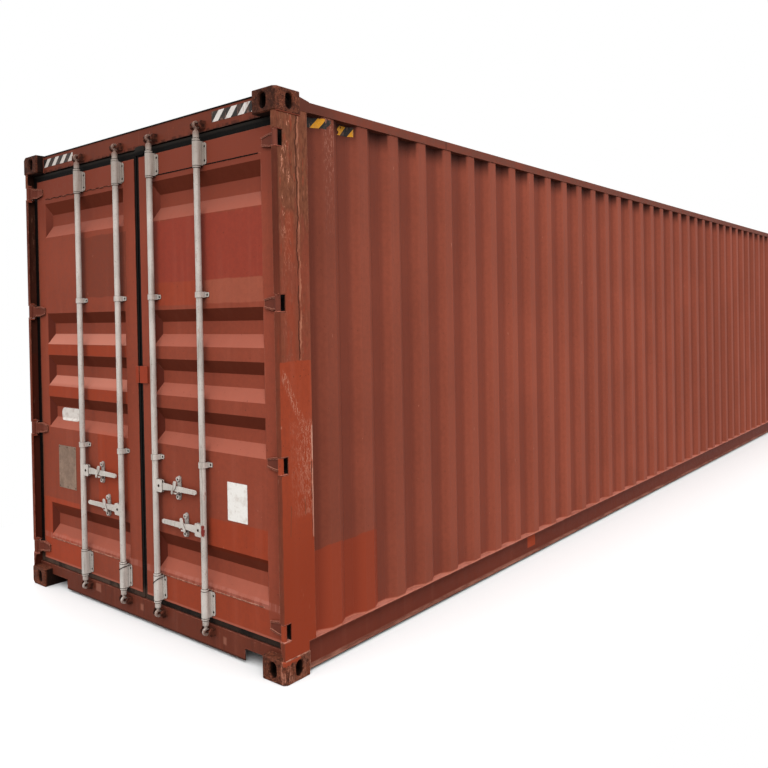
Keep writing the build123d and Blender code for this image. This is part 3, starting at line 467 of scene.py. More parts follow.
def end_marks(f):
    """Dark foot of the sill, rust runs on the header and the sill, and painted shade under the header."""
    f.coat(f.z.ramp(SILL_FOOT + 0.012, SILL_FOOT + 0.004), rgb(24, 14, 11))
    runs = f.grain(30.0, 5.0, 0.65, (1.0, 1.0, 0.14))
    sill = f.zone(OPEN, (None, None, 0.16), 0.01)
    f.coat(sill * runs.ramp(0.50, 0.66, 0.0, 0.35), rgb(66, 36, 27))
    f.coat(sill * 0.35, rgb(92, 46, 34))
    for x0, x1, z0, z1 in ((-0.524, -0.467, 0.078, 0.130), (-0.044, -0.014, 0.070, 0.106),
                           (0.700, 0.726, 0.058, 0.097)):
        f.coat(f.patch((x0, None, z0), (x1, -6.03, z1)) * 0.42, rgb(178, 118, 98))
    rust = f.patch((None, None, CAST_UNDER - 0.02), (None, None, CAST_UNDER + 0.016), 0.004)
    f.coat(rust * runs.ramp(0.44, 0.56, 0.0, 0.8), rgb(70, 34, 24))
    # Near black under the header: painted shade
    under = f.z.ramp(CAST_UNDER + 0.005, CAST_UNDER + 0.001) * f.z.ramp(CAST_UNDER - 0.03, CAST_UNDER - 0.02)
    f.coat(under, rgb(28, 14, 11))


def door_marks(f):
    """Rubbed paint around the sheet, dirt along the outer edge of each leaf, and painted highlight and shade.
    """
    runs = f.grain(34.0, 5.0, 0.65, (1.0, 1.0, 0.10))
    edge = abs(f.x).ramp(FRAME_HIGH.x - 0.020, FRAME_HIGH.x - 0.006)
    f.coat(edge * runs.ramp(0.40, 0.60, 0.1, 0.75), rgb(96, 62, 46))
    dusty = f.up.ramp(0.2, 0.6) * f.x.ramp(-0.05, -0.15)
    f.coat(dusty * f.zone((None, None, 1.36), (None, None, 1.90), 0.02) * 0.45, rgb(222, 150, 130))
    # Pale band along the foot of each leaf: painted highlight
    f.coat(f.z.ramp(FRAME_LOW.z + 0.016, FRAME_LOW.z + 0.006) * 0.55, f.paint.chalk)
    # Faces of the sheet that turn towards +x, the pocket ends, darkened: painted shade
    ends = f.aside.ramp(0.25, 0.50) * f.zone((None, DOOR_Y + 0.003, None), OPEN, 0.001)
    f.coat(ends * 0.92, rgb(84, 33, 22))
    high = (f.z + f.waver * 3.0).ramp(2.28, 2.56, 0.0, 0.75)
    f.coat(high * f.up.ramp(-0.3, -0.1), rgb(120, 56, 41))
    f.coat(high * f.up.ramp(0.2, 0.6, 0.0, 0.7), rgb(148, 102, 90))
    # Down-facing faces near the hinge side of the left leaf made paler: painted light
    f.coat(f.up.ramp(-0.1, -0.4) * f.x.ramp(-0.60, -0.68) * 0.25, rgb(140, 66, 48))
    seam = f.patch((None, None, PANEL_LOW.z - 0.004), (None, None, PANEL_LOW.z + 0.034), 0.004)
    f.coat(seam * runs.ramp(0.40, 0.60, 0.15, 0.6), rgb(170, 104, 90))


def cast_steel(name, paint):
    """Rough cast corners: brown rust with some paint left on them, and painted shade inside."""
    f = Finish(name, paint)
    blotch = f.grain(26.0, 8.0, 0.75)
    runs = f.grain(60.0, 6.0, 0.7, (1.0, 1.0, 0.22))
    fine = f.grain(150.0, 5.0, 0.7)
    pits = f.grain(85.0, 6.0, 0.7, (1.0, 1.0, 0.7), (5.0, 0.0, 2.0))
    f.colour = f.blend(blotch.ramp(0.40, 0.60), rgb(70, 37, 27), rgb(112, 60, 42))
    f.coat(pits.ramp(0.54, 0.62) * 0.75, rgb(40, 21, 15))
    f.coat(runs.ramp(0.55, 0.64) * 0.35, rgb(44, 23, 17))
    f.coat(pits.ramp(0.42, 0.34) * 0.7, rgb(138, 80, 58))
    f.coat(fine.ramp(0.59, 0.65) * 0.8, rgb(178, 116, 90))
    side = f.zone((NEAR_X, None, None), (None, None, 0.125)) * f.y.ramp(-6.02, -6.07, 0.25, 1.0)
    bright = f.grain(48.0, 6.0, 0.7, (1.0, 1.0, 0.35), (2.0, 1.0, 0.0))
    f.coat(side * bright.ramp(0.50, 0.58, 0.0, 0.85), rgb(178, 116, 94))
    f.coat(side * bright.ramp(0.44, 0.38, 0.0, 0.6), rgb(132, 60, 40))
    f.waver = (blotch - 0.5) * 0.08
    f.coat(f.patch((1.20, None, 0.098), (None, -5.985, 0.125), 0.004) * 0.9, paint.fresh)
    top = f.z.ramp(CAST_UNDER - 0.02, CAST_UNDER + 0.02)
    f.coat(top * f.y.ramp(END_Y + 0.010, END_Y + 0.002) * 0.55, rgb(26, 14, 10))
    f.coat(f.worn_edge(0.006) * runs.ramp(0.35, 0.6) * 0.55, rgb(48, 26, 20))
    # Near black inside the casting, behind its holes: painted shade
    inside = abs(f.x).ramp(SIDE_X - 0.006, SIDE_X - 0.016) * abs(f.y).ramp(-END_Y - 0.006, -END_Y - 0.018)
    lid = f.zone((None, None, CAST_TOP - 0.003), (None, None, CAST_TOP + 0.01), 0.002)
    f.coat(inside * 0.93 * (1.0 - lid), rgb(14, 8, 6))
    f.close(fine, 0.62, 0.85, fine * 0.35 + blotch, 0.6, 0.003, Specular_IOR_Level=0.08)


def dull_zinc(name, paint):
    """Light grey lock gear, with painted shade at its collars and in its crevices, rusty ends and stray red
    paint.
    """
    f = Finish(name, paint)
    broad = f.grain(5.0, 4.0, 0.6)
    blotch = f.grain(42.0, 6.0, 0.7)
    fine = f.grain(110.0, 5.0, 0.7)
    runs = f.grain(40.0, 5.0, 0.65, (1.0, 1.0, 0.08))
    f.colour = f.blend(broad.ramp(0.35, 0.65), toned(paint.zinc, 0.82), toned(paint.zinc, 1.04))
    f.coat(runs.ramp(0.52, 0.68) * 0.5, rgb(128, 112, 100))
    f.coat(fine.ramp(0.59, 0.66) * 0.6, rgb(118, 88, 72))
    f.coat(f.z.ramp(2.30, 2.72, 0.0, 0.55), rgb(138, 122, 110))
    stray = f.grain(17.0, 5.0, 0.7, (1.0, 1.0, 0.3), (2.0, 0.0, 1.0)).ramp(0.64, 0.69)
    f.coat(stray * 0.55, rgb(168, 112, 94))
    f.coat(f.z.ramp(2.725, 2.80) * blotch.ramp(0.36, 0.58, 0.75, 0.9), rgb(112, 72, 56))
    f.coat(f.z.ramp(0.19, 0.09) * blotch.ramp(0.36, 0.58, 0.25, 0.9), rgb(132, 96, 80))
    f.waver = (blotch - 0.5) * 0.03
    f.coat(f.patch((0.590, None, 0.618), (0.609, -6.078, 0.680), 0.004) * 0.97, rgb(118, 22, 12))
    # A thin dark ring at each collar: painted shadow
    for joint in COLLARS:
        f.coat(abs(f.z - joint).ramp(0.0026, 0.0012) * 0.85, rgb(50, 38, 32))
    f.coat(f.worn_edge(0.003) * fine.ramp(0.30, 0.5) * 0.6, rgb(228, 216, 206))
    # Painted shade in the crevices of the gear
    f.coat(f.crevice(0.030, 0.34, 0.86) * 0.88, rgb(44, 32, 27))
    f.close(fine, 0.48, 0.68, fine + blotch, 0.30, 0.0008, Specular_IOR_Level=0.22, Metallic=0.1)


def rusty_steel(name, dark, light):
    """Rust all over, with a little colour left."""
    f = Finish(name)
    blotch = f.grain(40.0, 6.0, 0.7)
    fine = f.grain(160.0, 4.0, 0.7)
    f.colour = f.blend(blotch.ramp(0.38, 0.62), dark, light)
    f.coat(fine.ramp(0.58, 0.70), toned(dark, 0.5))
    f.coat(f.worn_edge(0.002) * 0.5, toned(light, 1.7))
    f.close(fine, 0.6, 0.88, blotch + fine, 0.5, 0.0015, Specular_IOR_Level=0.08)


def seal_rubber(name, paint):
    """Black rubber, with painted light on the lip under the header, and grey with dust at the foot of the
    doors.
    """
    f = Finish(name, paint)
    broad = f.grain(9.0, 5.0, 0.65)
    fine = f.grain(110.0, 4.0, 0.6)
    # Paler lip under the header: painted light
    lip = (broad * 0.010 + f.z).ramp(FRAME_HIGH.z + 0.030, FRAME_HIGH.z + 0.040) * 0.20
    f.colour = f.blend(lip, paint.rubber, rgb(72, 65, 59))
    low = f.z.ramp(0.24, 0.16) * broad.ramp(0.36, 0.56, 0.2, 0.95) * f.x.ramp(0.30, -0.25, 0.25, 0.85)
    f.coat(low, rgb(86, 66, 56))
    f.coat(fine.ramp(0.60, 0.70) * 0.25, rgb(96, 70, 58))
    f.close(fine, 0.6, 0.8, fine, 0.3, 0.001, Specular_IOR_Level=0.06)


def floor_boards(name, width=0.29):
    """Worn plywood boards that run along the floor, with dark joints."""
    f = Finish(name)
    joint = abs(f.reckon("FRACT", f.x * (1 / width)) - 0.5).ramp(0.488, 0.497)
    streak = f.grain(30.0, 6.0, 0.6, (1.0, 0.06, 1.0))
    f.colour = f.blend(streak.ramp(0.35, 0.68), rgb(120, 82, 52), rgb(168, 126, 86))
    f.coat(f.grain(2.5, 4.0).ramp(0.45, 0.65) * 0.5, rgb(88, 68, 52))
    f.coat(joint, rgb(34, 26, 20))
    f.close(streak, 0.55, 0.8, streak - joint, 0.35, 0.002)


def dull_plate(name):
    """Bare metal plate, dull and dirty."""
    f = Finish(name)
    fine = f.grain(140.0, 4.0, 0.6)
    f.colour = f.blend(f.grain(14.0, 5.0, 0.65).ramp(0.36, 0.64), rgb(122, 96, 78), rgb(144, 116, 96))
    f.coat(fine.ramp(0.57, 0.70) * 0.5, rgb(92, 70, 58))
    f.coat(f.worn_edge(0.003) * 0.5, rgb(96, 68, 54))
    f.close(fine, 0.45, 0.65, fine, 0.25, 0.0005, Metallic=0.2)


def label_vinyl(name, white, dirt):
    """White label, dirty and rubbed in places."""
    f = Finish(name)
    broad = f.grain(22.0, 5.0, 0.65)
    fine = f.grain(150.0, 4.0, 0.6)
    f.colour = f.blend(broad.ramp(0.45, 0.68) * 0.5, white, dirt)
    f.coat(fine.ramp(0.60, 0.72) * 0.4, toned(dirt, 0.6))
    f.coat(f.worn_edge(0.003) * 0.4, toned(dirt, 0.5))
    f.close(fine, 0.35, 0.55, broad, 0.2, 0.0005)


def striped_vinyl(name, start, base_z, lean, pitch, share, light, dark, sheet=False):
    """Slanting stripes in two colours, scuffed and faded. On a sheet they follow its own length."""
    f = Finish(name)
    run, rise = f.x, f.z
    if sheet:
        run, rise, _ = f.split(f.take("UVMap", uv_map="run"))
    fine = f.grain(130.0, 5.0, 0.65)
    broad = f.grain(18.0, 5.0, 0.65)
    scuff = f.grain(60.0, 5.0, 0.65, (1.0, 1.0, 0.3), (0.0, 3.0, 1.0))
    run = run - start + (broad - 0.5) * 0.006 - (rise - base_z) * lean
    turn = f.reckon("FRACT", f.reckon("DIVIDE", run, pitch))
    stripe = (turn.ramp(0.0, 0.03) - turn.ramp(share, share + 0.03)) * run.ramp(-0.002, 0.002)
    f.colour = f.blend(stripe, dark, light)
    f.coat(broad.ramp(0.48, 0.70) * 0.35, rgb(104, 82, 72))
    f.coat(scuff.ramp(0.57, 0.64) * 0.5, rgb(150, 104, 88))
    f.coat(fine.ramp(0.60, 0.68) * 0.5, rgb(112, 70, 56))
    f.close(fine, 0.45, 0.65, fine, 0.2, 0.0005, Specular_IOR_Level=0.25)


def make_finishes(paint):
    """Every finish of the container, each kept under its name."""
    orange = rgb(151, 61, 37)
    door_patches = [((x0, DOOR_Y - 0.02, z0), (x1, DOOR_Y + 0.010, z1), tone, share)
                    for x0, x1, z0, z1, tone, share in (
        (0.165, 1.055, 1.991, 2.341, rgb(143, 59, 45), 0.95),
        (-0.620, -0.120, 1.930, 2.310, rgb(122, 59, 43), 0.95),
        (0.160, 0.585, 1.860, 1.991, rgb(152, 64, 42), 0.85),
        (-0.470, -0.137, 0.640, 1.120, orange, 0.85),
        (-1.056, -0.137, 1.560, 1.630, orange, 0.9),
        (-1.056, -0.137, 1.280, 1.352, orange, 0.9),
        (0.600, 1.055, 1.865, 1.991, rgb(158, 84, 64), 0.8),
        (-1.150, -0.700, None, 0.600, rgb(160, 66, 42), 0.9),
        (0.600, 1.056, 0.545, 0.715, orange, 0.9),
        (0.200, 1.056, None, 0.330, rgb(148, 62, 39), 0.85),
    )]
    post_low = (((None, POST_LOW.y + 0.004, None), (None, WALL_LOW.y, POST_PAINT_Z), paint.fresh, 0.97),)
    knuckles = (((1.186, None, None), (None, None, POST_PAINT_Z), paint.fresh, 0.95),)
    wall = [part * share for part, share in zip(paint.body, (0.95, 1.07, 1.12))]
    frame_body, post_body = toned(paint.body, 0.84), toned(paint.body, 0.88)
    black = rgb(36, 31, 28)
    painted_steel("wall_paint", paint, wall, wall_marks, runs=0.16, spots=0.675, wear=0.22, wear_and_highlight_rim=0.005,
                  painted_shade=0.0)
    painted_steel("sheet_paint", paint, wall, runs=0.30, spots=0.66, chalk=0.5, wear=0.3, painted_shade=0.3)
    painted_steel("frame_paint", paint, frame_body, rail_marks, runs=0.3, spots=0.66, wear=0.6)
    painted_steel("end_beam_paint", paint, rgb(108, 52, 37), end_marks, runs=0.30, spots=0.64, wear=0.6,
                  painted_shade=0.7)
    painted_steel("door_paint", paint, paint.body, door_marks, door_patches, 0.16, 0.68, wear=0.45,
                  painted_shade=0.65)
    painted_steel("post_paint", paint, post_body, post_marks, post_low, 0.25, 0.64, wear=0.8)
    painted_steel("blade_paint", paint, rgb(104, 52, 40), None, knuckles, 0.4, 0.64, wear=0.95,
                  wear_and_highlight_rim=0.0045, painted_shade=0.9)
    painted_steel("bridge_paint", paint, rgb(152, 60, 38), runs=0.12, spots=0.68, wear=0.7)
    cast_steel("casting_rust", paint)
    dull_zinc("dull_zinc", paint)
    rusty_steel("keeper_rust", rgb(46, 25, 19), rgb(100, 53, 39))
    rusty_steel("black_edge", rgb(9, 6, 5), rgb(24, 15, 12))
    rusty_steel("dark_steel", rgb(30, 22, 19), rgb(62, 42, 34))
    rusty_steel("seam_weld", rgb(112, 68, 56), rgb(176, 124, 104))
    seal_rubber("seal_rubber", paint)
    floor_boards("floor_boards")
    dull_plate("dull_plate")
    label_vinyl("white_label", rgb(240, 236, 230), rgb(196, 182, 170))
    label_vinyl("oval_vinyl", rgb(222, 214, 206), rgb(168, 148, 134))
    striped_vinyl("end_stripes_left", -1.054, 2.810, 0.94, 0.100, 0.46, rgb(205, 196, 188), black)
    striped_vinyl("end_stripes_right", 0.689, 2.810, 0.94, 0.100, 0.46, rgb(216, 208, 202), black)
    striped_vinyl("side_stripes", 0.0, 2.745, 0.9, 0.102, 0.48, rgb(206, 140, 16), rgb(26, 23, 21), True)


def finish_of(node):
    """The finish of a node of the frame, by the words in its name."""
    words = (
        ("corner_castings", "casting_rust"), ("rear_posts_outer", "post_paint"), ("side_wall", "wall_paint"),
        ("front_wall", "sheet_paint"), ("roof", "sheet_paint"), ("seal_plate", "bridge_paint"),
        ("data_plate", "dull_plate"), ("gasket", "seal_rubber"), ("floor", "floor_boards"),
        ("cam_keepers", "keeper_rust"), ("lock_rod", "dull_zinc"), ("header", "end_beam_paint"),
        ("sill", "end_beam_paint"), ("hinge_blades", "blade_paint"), ("handle", "dull_zinc"),
        ("rod_brackets", "dull_zinc"), ("door_", "door_paint"),
    )
    return FINISH[next((finish for word, finish in words if word in node), "frame_paint")]


# Mesh helpers

TO_FRONT = Matrix.Rotation(math.radians(90), 4, "X")


def place_piece(name, build, body, finish, smooth=None):
    """Makes an object from a bmesh and lets it ride on a body."""
    work = bmesh.new()
    build(work)
    bmesh.ops.recalc_face_normals(work, faces=work.faces)
    mesh = bpy.data.meshes.new(name)
    work.to_mesh(mesh)
    work.free()
    if smooth is not None:
        mesh.shade_smooth()
        mesh.set_sharp_from_angle(angle=smooth)
    piece = bpy.data.objects.new(name, mesh)
    bpy.context.scene.collection.objects.link(piece)
    mesh.materials.append(FINISH[finish])
    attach(piece, body)


def edges_of(verts):
    return list({edge for vert in verts for edge in vert.link_edges})


def round_off(work, edges, offset, segments=1):
    bmesh.ops.bevel(work, geom=edges, offset=offset, segments=segments, profile=0.5,
                    affect="EDGES", material=-1)


def slab(work, corner, other, offset=0.0, segments=1):
    """Block between two corners with its edges rounded."""
    low, high = (Vector(map(pick, corner, other)) for pick in (min, max))
    matrix = Matrix.Translation((low + high) / 2) @ Matrix.Diagonal((*(high - low), 1.0))
    verts = bmesh.ops.create_cube(work, size=1.0, matrix=matrix)["verts"]
    if offset:
        round_off(work, edges_of(verts), offset, segments)
    return verts


def sheet_label(work, low, high, corner, segments=5):
    """Thin label with rounded corners that lies on a face that looks to the front."""
    across = [edge for edge in edges_of(slab(work, low, high))
              if abs((edge.verts[0].co - edge.verts[1].co).normalized().y) > 0.9]
    round_off(work, across, corner, segments)


def stud(work, at, radius, height, sides=10, top=0.75):
    """Low round head that points to the front."""
    bmesh.ops.create_cone(work, cap_ends=True, segments=sides, radius1=radius, radius2=radius * top,
                          depth=height, matrix=Matrix.Translation(at) @ TO_FRONT)


def bead(work, start, end, radius, step=0.012, seed=0.0):
    """Weld bead along a line, with uneven ripples."""
    start, end = Vector(start), Vector(end)
    run = end - start
    count = max(2, int(run.length / step))
    turn = run.to_track_quat("Z", "Y").to_matrix().to_4x4()
    ring = bmesh.ops.create_circle(work, cap_ends=True, segments=6, radius=radius,
                                   matrix=Matrix.Translation(start) @ turn)["verts"]
    for index in range(count):
        edges = [edge for edge in edges_of(ring) if all(vert in ring for vert in edge.verts)]
        made = bmesh.ops.extrude_edge_only(work, edges=edges)["geom"]
        ring = [part for part in made if isinstance(part, bmesh.types.BMVert)]
        bmesh.ops.translate(work, verts=ring, vec=run / count)
        middle = start + run * (index + 1) / count
        swell = 0.82 + 0.36 * (index % 2) + 0.35 * noise.noise(Vector((index * 0.9, seed, 2.0)))
        for vert in ring:
            vert.co = middle + (vert.co - middle).normalized() * radius * swell
    bmesh.ops.contextual_create(work, geom=ring)


def rod_lines(leaf):
    """Middle of each rod of a leaf, from its own pivot in the frame."""
    return [joint["pos_m"][0] for joint in frame["joints"]
            if joint["name"].endswith("rod_turn") and joint["name"].startswith(leaf)]


def wall_depth(y):
    """How far the wall lies behind its ribs at this place along it."""
    if y < RIB_FIRST - RIB_HALF - RIB_SLOPE:
        return RIB_DEPTH
    off = abs((y - RIB_FIRST + RIB_PITCH / 2) % RIB_PITCH - RIB_PITCH / 2)
    return RIB_DEPTH * min(1.0, max(0.0, (off - RIB_HALF) / RIB_SLOPE))


def wall_run(y, start=-5.807, step=0.001):
    """Length of the sheet itself from the first stripe to this place."""
    count = max(1, round(abs(y - start) / step))
    size = (y - start) / count
    places = [start + size * index for index in range(count)]
    length = sum(math.hypot(size, wall_depth(at + size) - wall_depth(at)) for at in places)
    return math.copysign(length, y - start)


def lay_on_wall(work, sx, y0, y1, z0, z1):
    """Strip of label that follows the ribs, torn away over the first rib."""
    bmesh.ops.create_grid(work, x_segments=96, y_segments=12, size=0.5)
    for vert in work.verts:
        vert.co = Vector((0.0, y0 + (y1 - y0) * (vert.co.x + 0.5), z0 + (z1 - z0) * (vert.co.y + 0.5)))
    torn = []
    for face in work.faces:
        at = face.calc_center_median()
        rag = 0.014 * noise.noise(Vector((at.y * 60, at.z * 60, 3.0)))
        up = (at.z - z0) / (z1 - z0)
        left = -5.716 + 0.042 * up + rag
        right = -5.588 + 0.006 * up - rag
        hole = noise.noise(Vector((at.y * 70, at.z * 28, 11.0))) > 0.30 and left - 0.05 < at.y < right + 0.02
        if left < at.y < right or hole:
            torn.append(face)
    bmesh.ops.delete(work, geom=torn, context="FACES")
    for vert in work.verts:
        vert.co.x = sx * (WALL_HIGH.x - wall_depth(vert.co.y) + 0.0009)
        if -5.76 < vert.co.y < -5.57:
            vert.co.y += 0.003 * noise.noise(Vector((vert.co.y * 90, vert.co.z * 90, 8.0)))
            vert.co.z += 0.003 * noise.noise(Vector((vert.co.y * 90, vert.co.z * 90, 5.0)))
    bmesh.ops.solidify(work, geom=work.faces, thickness=0.0006)
    layer = work.loops.layers.uv.new("run")
    lengths = {}
    for face in work.faces:
        for loop in face.loops:
            y = round(loop.vert.co.y, 4)
            if y not in lengths:
                lengths[y] = wall_run(y)
            loop[layer].uv = (lengths[y], loop.vert.co.z)


# Operators


class CONTAINER_OT_finishes(bpy.types.Operator):
    """Give every steel, rubber and wooden part of the frame its finish"""
    bl_idname = "container.finishes"
    bl_label = "Finishes"

    def execute(self, context):
        make_finishes(context.scene.container_paint)
        for name, node in frame["nodes"].items():
            if not node.material_slots:
                node.data.materials.append(None)
            for holder in node.material_slots:
                holder.material = finish_of(name)
        return {"FINISHED"}


class CONTAINER_OT_cover_rivets(bpy.types.Operator):
    """Set rivets in the flanges of the rod covers and guides"""
    bl_idname = "container.cover_rivets"
    bl_label = "Cover rivets"

    def execute(self, context):
        radius = context.scene.container_fittings.rivet
        height, face_y, most_inset = 0.003, DOOR_Y - 0.0042, 0.026
        for leaf in LEAVES:
            def heads(work):
                for x in rod_lines(leaf):
                    for z0, z1 in COVER_SPANS:
                        inset = min(most_inset, (z1 - z0) / 2)
                        for z in sorted({round(z0 + inset, 4), round(z1 - inset, 4)}):
                            for side in SIDES:
                                stud(work, (x + side * FLANGE_X, face_y, z), radius, height)
            place_piece("cover_rivets_" + leaf, heads, leaf + "_door", "black_edge", smooth=SHARP_FOLD)
        return {"FINISHED"}


class CONTAINER_OT_door_seams(bpy.types.Operator):
    """Lay the stitched welds along the top and bottom of the door sheets"""
    bl_idname = "container.door_seams"
    bl_label = "Door seams"

    def execute(self, context):
        size, stitch, step, inset = context.scene.container_fittings.bead * 0.85, 0.040, 0.008, 0.001
        for leaf in LEAVES:
            low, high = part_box("door_" + leaf + "_panel")

            def stitches(z, drop):
                def build(work):
                    x, index = low.x + 0.012, 0
                    while x + stitch < high.x:
                        at = z - drop * (index % 2)
                        bead(work, (x, DOOR_Y, at), (x + stitch, DOOR_Y, at), size, step, index * 1.7)
                        x += stitch + (0.004 if drop else 0.0005)
                        index += 1
                return build
            drop, finish = (0.004, "keeper_rust") if leaf == "left" else (0.0, "black_edge")
            body = leaf + "_door"
            place_piece("door_seam_top_" + leaf, stitches(high.z - inset, drop), body, finish, smooth=SOFT_FOLD)
            place_piece("door_seam_low_" + leaf, stitches(low.z + inset, 0.001), body, "seam_weld",
                        smooth=SOFT_FOLD)
        return {"FINISHED"}


def frame_beads(sx, size):
    """The beads of each piece on one side: both ends, radius, step and seed."""
    skin, fold, inner = sx * POST_HIGH.x, sx * (POST_HIGH.x - 0.001), sx * CAST_INNER_X
    groove, lip = sx * (WALL_HIGH.x - 0.036), sx * (POST_HIGH.x - 0.003)
    front, back, edge = END_Y + 0.010, CAST_END_Y, WALL_LOW.y
    return {
        "foot_welds": (
            ((skin, front, CAST_TOP), (skin, back, CAST_TOP), size * 0.9, 0.012, 0.1),
            ((skin, back, 0.02), (skin, back, CAST_TOP), size * 0.8, 0.012, 2.0),
        ),
        "post_welds": (
            ((skin, front, CAST_UNDER), (skin, back, CAST_UNDER), size, 0.012, 2.8),
            ((fold, back, CAST_UNDER), (fold, back, RAIL_LOW.z), size * 0.8, 0.012, 5.0),
            ((inner, HEADER_Y, CAST_UNDER + 0.004), (inner, HEADER_Y, HEADER_BEAD_TOP), size, 0.012, 3.0),
        ),
        "wall_welds": (
            ((groove, edge, BASE_TOP), (groove, edge, RAIL_LOW.z), size, 0.02, sx * 4.0),
            ((lip, edge, BASE_TOP + 0.002), (lip, edge, RAIL_LOW.z - 0.002), size * 0.6, 0.02, sx * 7.0),
        ),
    }


class CONTAINER_OT_frame_welds(bpy.types.Operator):
    """Lay the welds between castings, posts, header, sill, rails and walls"""
    bl_idname = "container.frame_welds"
    bl_label = "Frame welds"

    def execute(self, context):
        size = context.scene.container_fittings.bead
        for name, finish in (("foot_welds", "seam_weld"), ("post_welds", "frame_paint"),
                             ("wall_welds", "wall_paint")):
            def build(work):
                for sx in SIDES:
                    for row in frame_beads(sx, size)[name]:
                        bead(work, *row)
            place_piece(name, build, "box", finish, smooth=SOFT_FOLD)
        return {"FINISHED"}


class CONTAINER_OT_rail_gussets(bpy.types.Operator):
    """Add the small plates that tie the top rails to the castings"""
    bl_idname = "container.rail_gussets"
    bl_label = "Rail gussets"

    def execute(self, context):
        length, foot = 0.070, RAIL_LOW.z - 0.003
        tall_top, low_top = RAIL_HIGH.z + 0.016, RAIL_HIGH.z + 0.002
        inner, outer = RAIL_HIGH.x - 0.020, RAIL_HIGH.x + 0.0015

        def plates(work):
            for sx in SIDES:
                for sy in SIDES:
                    near, far = -CAST_END_Y * sy, (-CAST_END_Y - length) * sy
                    slab(work, (sx * inner, near, foot), (sx * outer, far, tall_top), 0.001)
                    for vert in work.verts:
                        at_far_end = sx * vert.co.x > 0 and abs(vert.co.y - far) < 0.01
                        if at_far_end and vert.co.z > RAIL_HIGH.z + 0.010:
                            vert.co.z = low_top
        place_piece("rail_gussets", plates, "box", "frame_paint")
        return {"FINISHED"}


class CONTAINER_OT_corner_plates(bpy.types.Operator):
    """Close the corners at the far end with the plates that join walls and posts"""
    bl_idname = "container.corner_plates"
    bl_label = "Corner plates"

    def execute(self, context):
        sheet, width, lap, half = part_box("front_wall")[1], 0.039, 0.0005, 0.003
        near, far = WALL_HIGH.y - 0.0015, WALL_HIGH.y + 0.0045

        def plates(work):
            for sx in SIDES:
                slab(work, (sx * (WALL_HIGH.x - width), near, WALL_LOW.z),
                     (sx * (WALL_HIGH.x + lap), far, WALL_HIGH.z), 0.001)
                slab(work, (sx * (sheet.x - half), sheet.y - 0.0475, CAST_TOP),
                     (sx * (sheet.x + half), sheet.y + lap, CAST_UNDER), 0.001)
        place_piece("corner_plates", plates, "box", "sheet_paint")
        return {"FINISHED"}


class CONTAINER_OT_labels(bpy.types.Operator):
    """Put the bare labels on the doors and the rivets in the metal plate"""
    bl_idname = "container.labels"
    bl_label = "Labels"

    def execute(self, context):
        pocket, fold, thick = DOOR_Y + POCKET_DEPTH, 1.143, 0.0008

        def oval(work):
            sheet_label(work, (-0.952, pocket - thick, 1.126), (-0.720, pocket, 1.209), 0.034)
            bmesh.ops.bisect_plane(work, geom=work.verts[:] + work.edges[:] + work.faces[:],
                                   plane_co=(0.0, 0.0, fold), plane_no=(0.0, 0.0, 1.0))
            for vert in work.verts:
                vert.co.y -= max(0.0, fold - vert.co.z) * POCKET_DEPTH / POCKET_SLOPE
        place_piece("oval_label", oval, "left_door", "oval_vinyl")

        def paper(work):
            sheet_label(work, (0.755, DOOR_Y - thick, 0.725), (0.909, DOOR_Y, 0.928), 0.003)
        place_piece("paper_label", paper, "right_door", "white_label")

        low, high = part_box("data_plate")
        inset, radius, height = 0.010, 0.0042, 0.0022

        def rivets(work):
            for x in (low.x + inset, (low.x + high.x) / 2, high.x - inset):
                for z in (low.z + inset, high.z - inset):
                    stud(work, (x, low.y - 0.0006, z), radius, height)
        place_piece("plate_rivets", rivets, "left_door", "dark_steel", smooth=SHARP_FOLD)

        def borders(work):
            line, side, end = 0.0022, 0.018, 0.030
            front, back = low.y - 0.0005, low.y + 0.0002
            for z in (low.z + end, low.z + 0.098, low.z + 0.166, high.z - end):
                slab(work, (low.x + side, front, z), (high.x - side, back, z + line), 0.0002)
            for x in (low.x + side, high.x - side - line):
                slab(work, (x, front, low.z + end), (x + line, back, high.z - end), 0.0002)
        place_piece("plate_borders", borders, "left_door", "dull_plate")
        return {"FINISHED"}


class CONTAINER_OT_hazard_stripes(bpy.types.Operator):
    """Put the striped height marks on the header and under the top rails"""
    bl_idname = "container.hazard_stripes"
    bl_label = "Hazard stripes"

    def execute(self, context):
        thick, end, foot, top = 0.0008, -5.485, 2.745, 2.796
        for tag, x0, x1, z0, z1 in (("left", -1.053, -0.688, 2.814, 2.866),
                                    ("right", 0.690, 1.055, 2.815, 2.870)):
            def strip(work):
                sheet_label(work, (x0, HEADER_Y - thick, z0), (x1, HEADER_Y, z1), 0.002)
            place_piece("header_stripes_" + tag, strip, "box", "end_stripes_" + tag)
        for sx, tag in ((1, "right"), (-1, "left")):
            def wall_strip(work):
                lay_on_wall(work, sx, WALL_LOW.y + 0.002, end, foot, top)
            place_piece("side_stripes_" + tag, wall_strip, "box", "side_stripes")
        return {"FINISHED"}


class CONTAINER_OT_header_strip(bpy.types.Operator):
    """Lay the black strip along the upper edge of the header"""
    bl_idname = "container.header_strip"
    bl_label = "Header strip"

    def execute(self, context):
        end = CAST_INNER_X - 0.003

        def strip(work):
            slab(work, (-end, HEADER_Y - 0.003, HEADER_TOP - 0.005),
                 (end, HEADER_Y + 0.012, HEADER_TOP + 0.003), 0.0015, 2)
            slab(work, (-end, HEADER_Y + 0.006, HEADER_TOP - 0.001),
                 (end, HEADER_Y + 0.060, HEADER_TOP + 0.002), 0.0005)
        place_piece("header_strip", strip, "box", "black_edge")
        return {"FINISHED"}


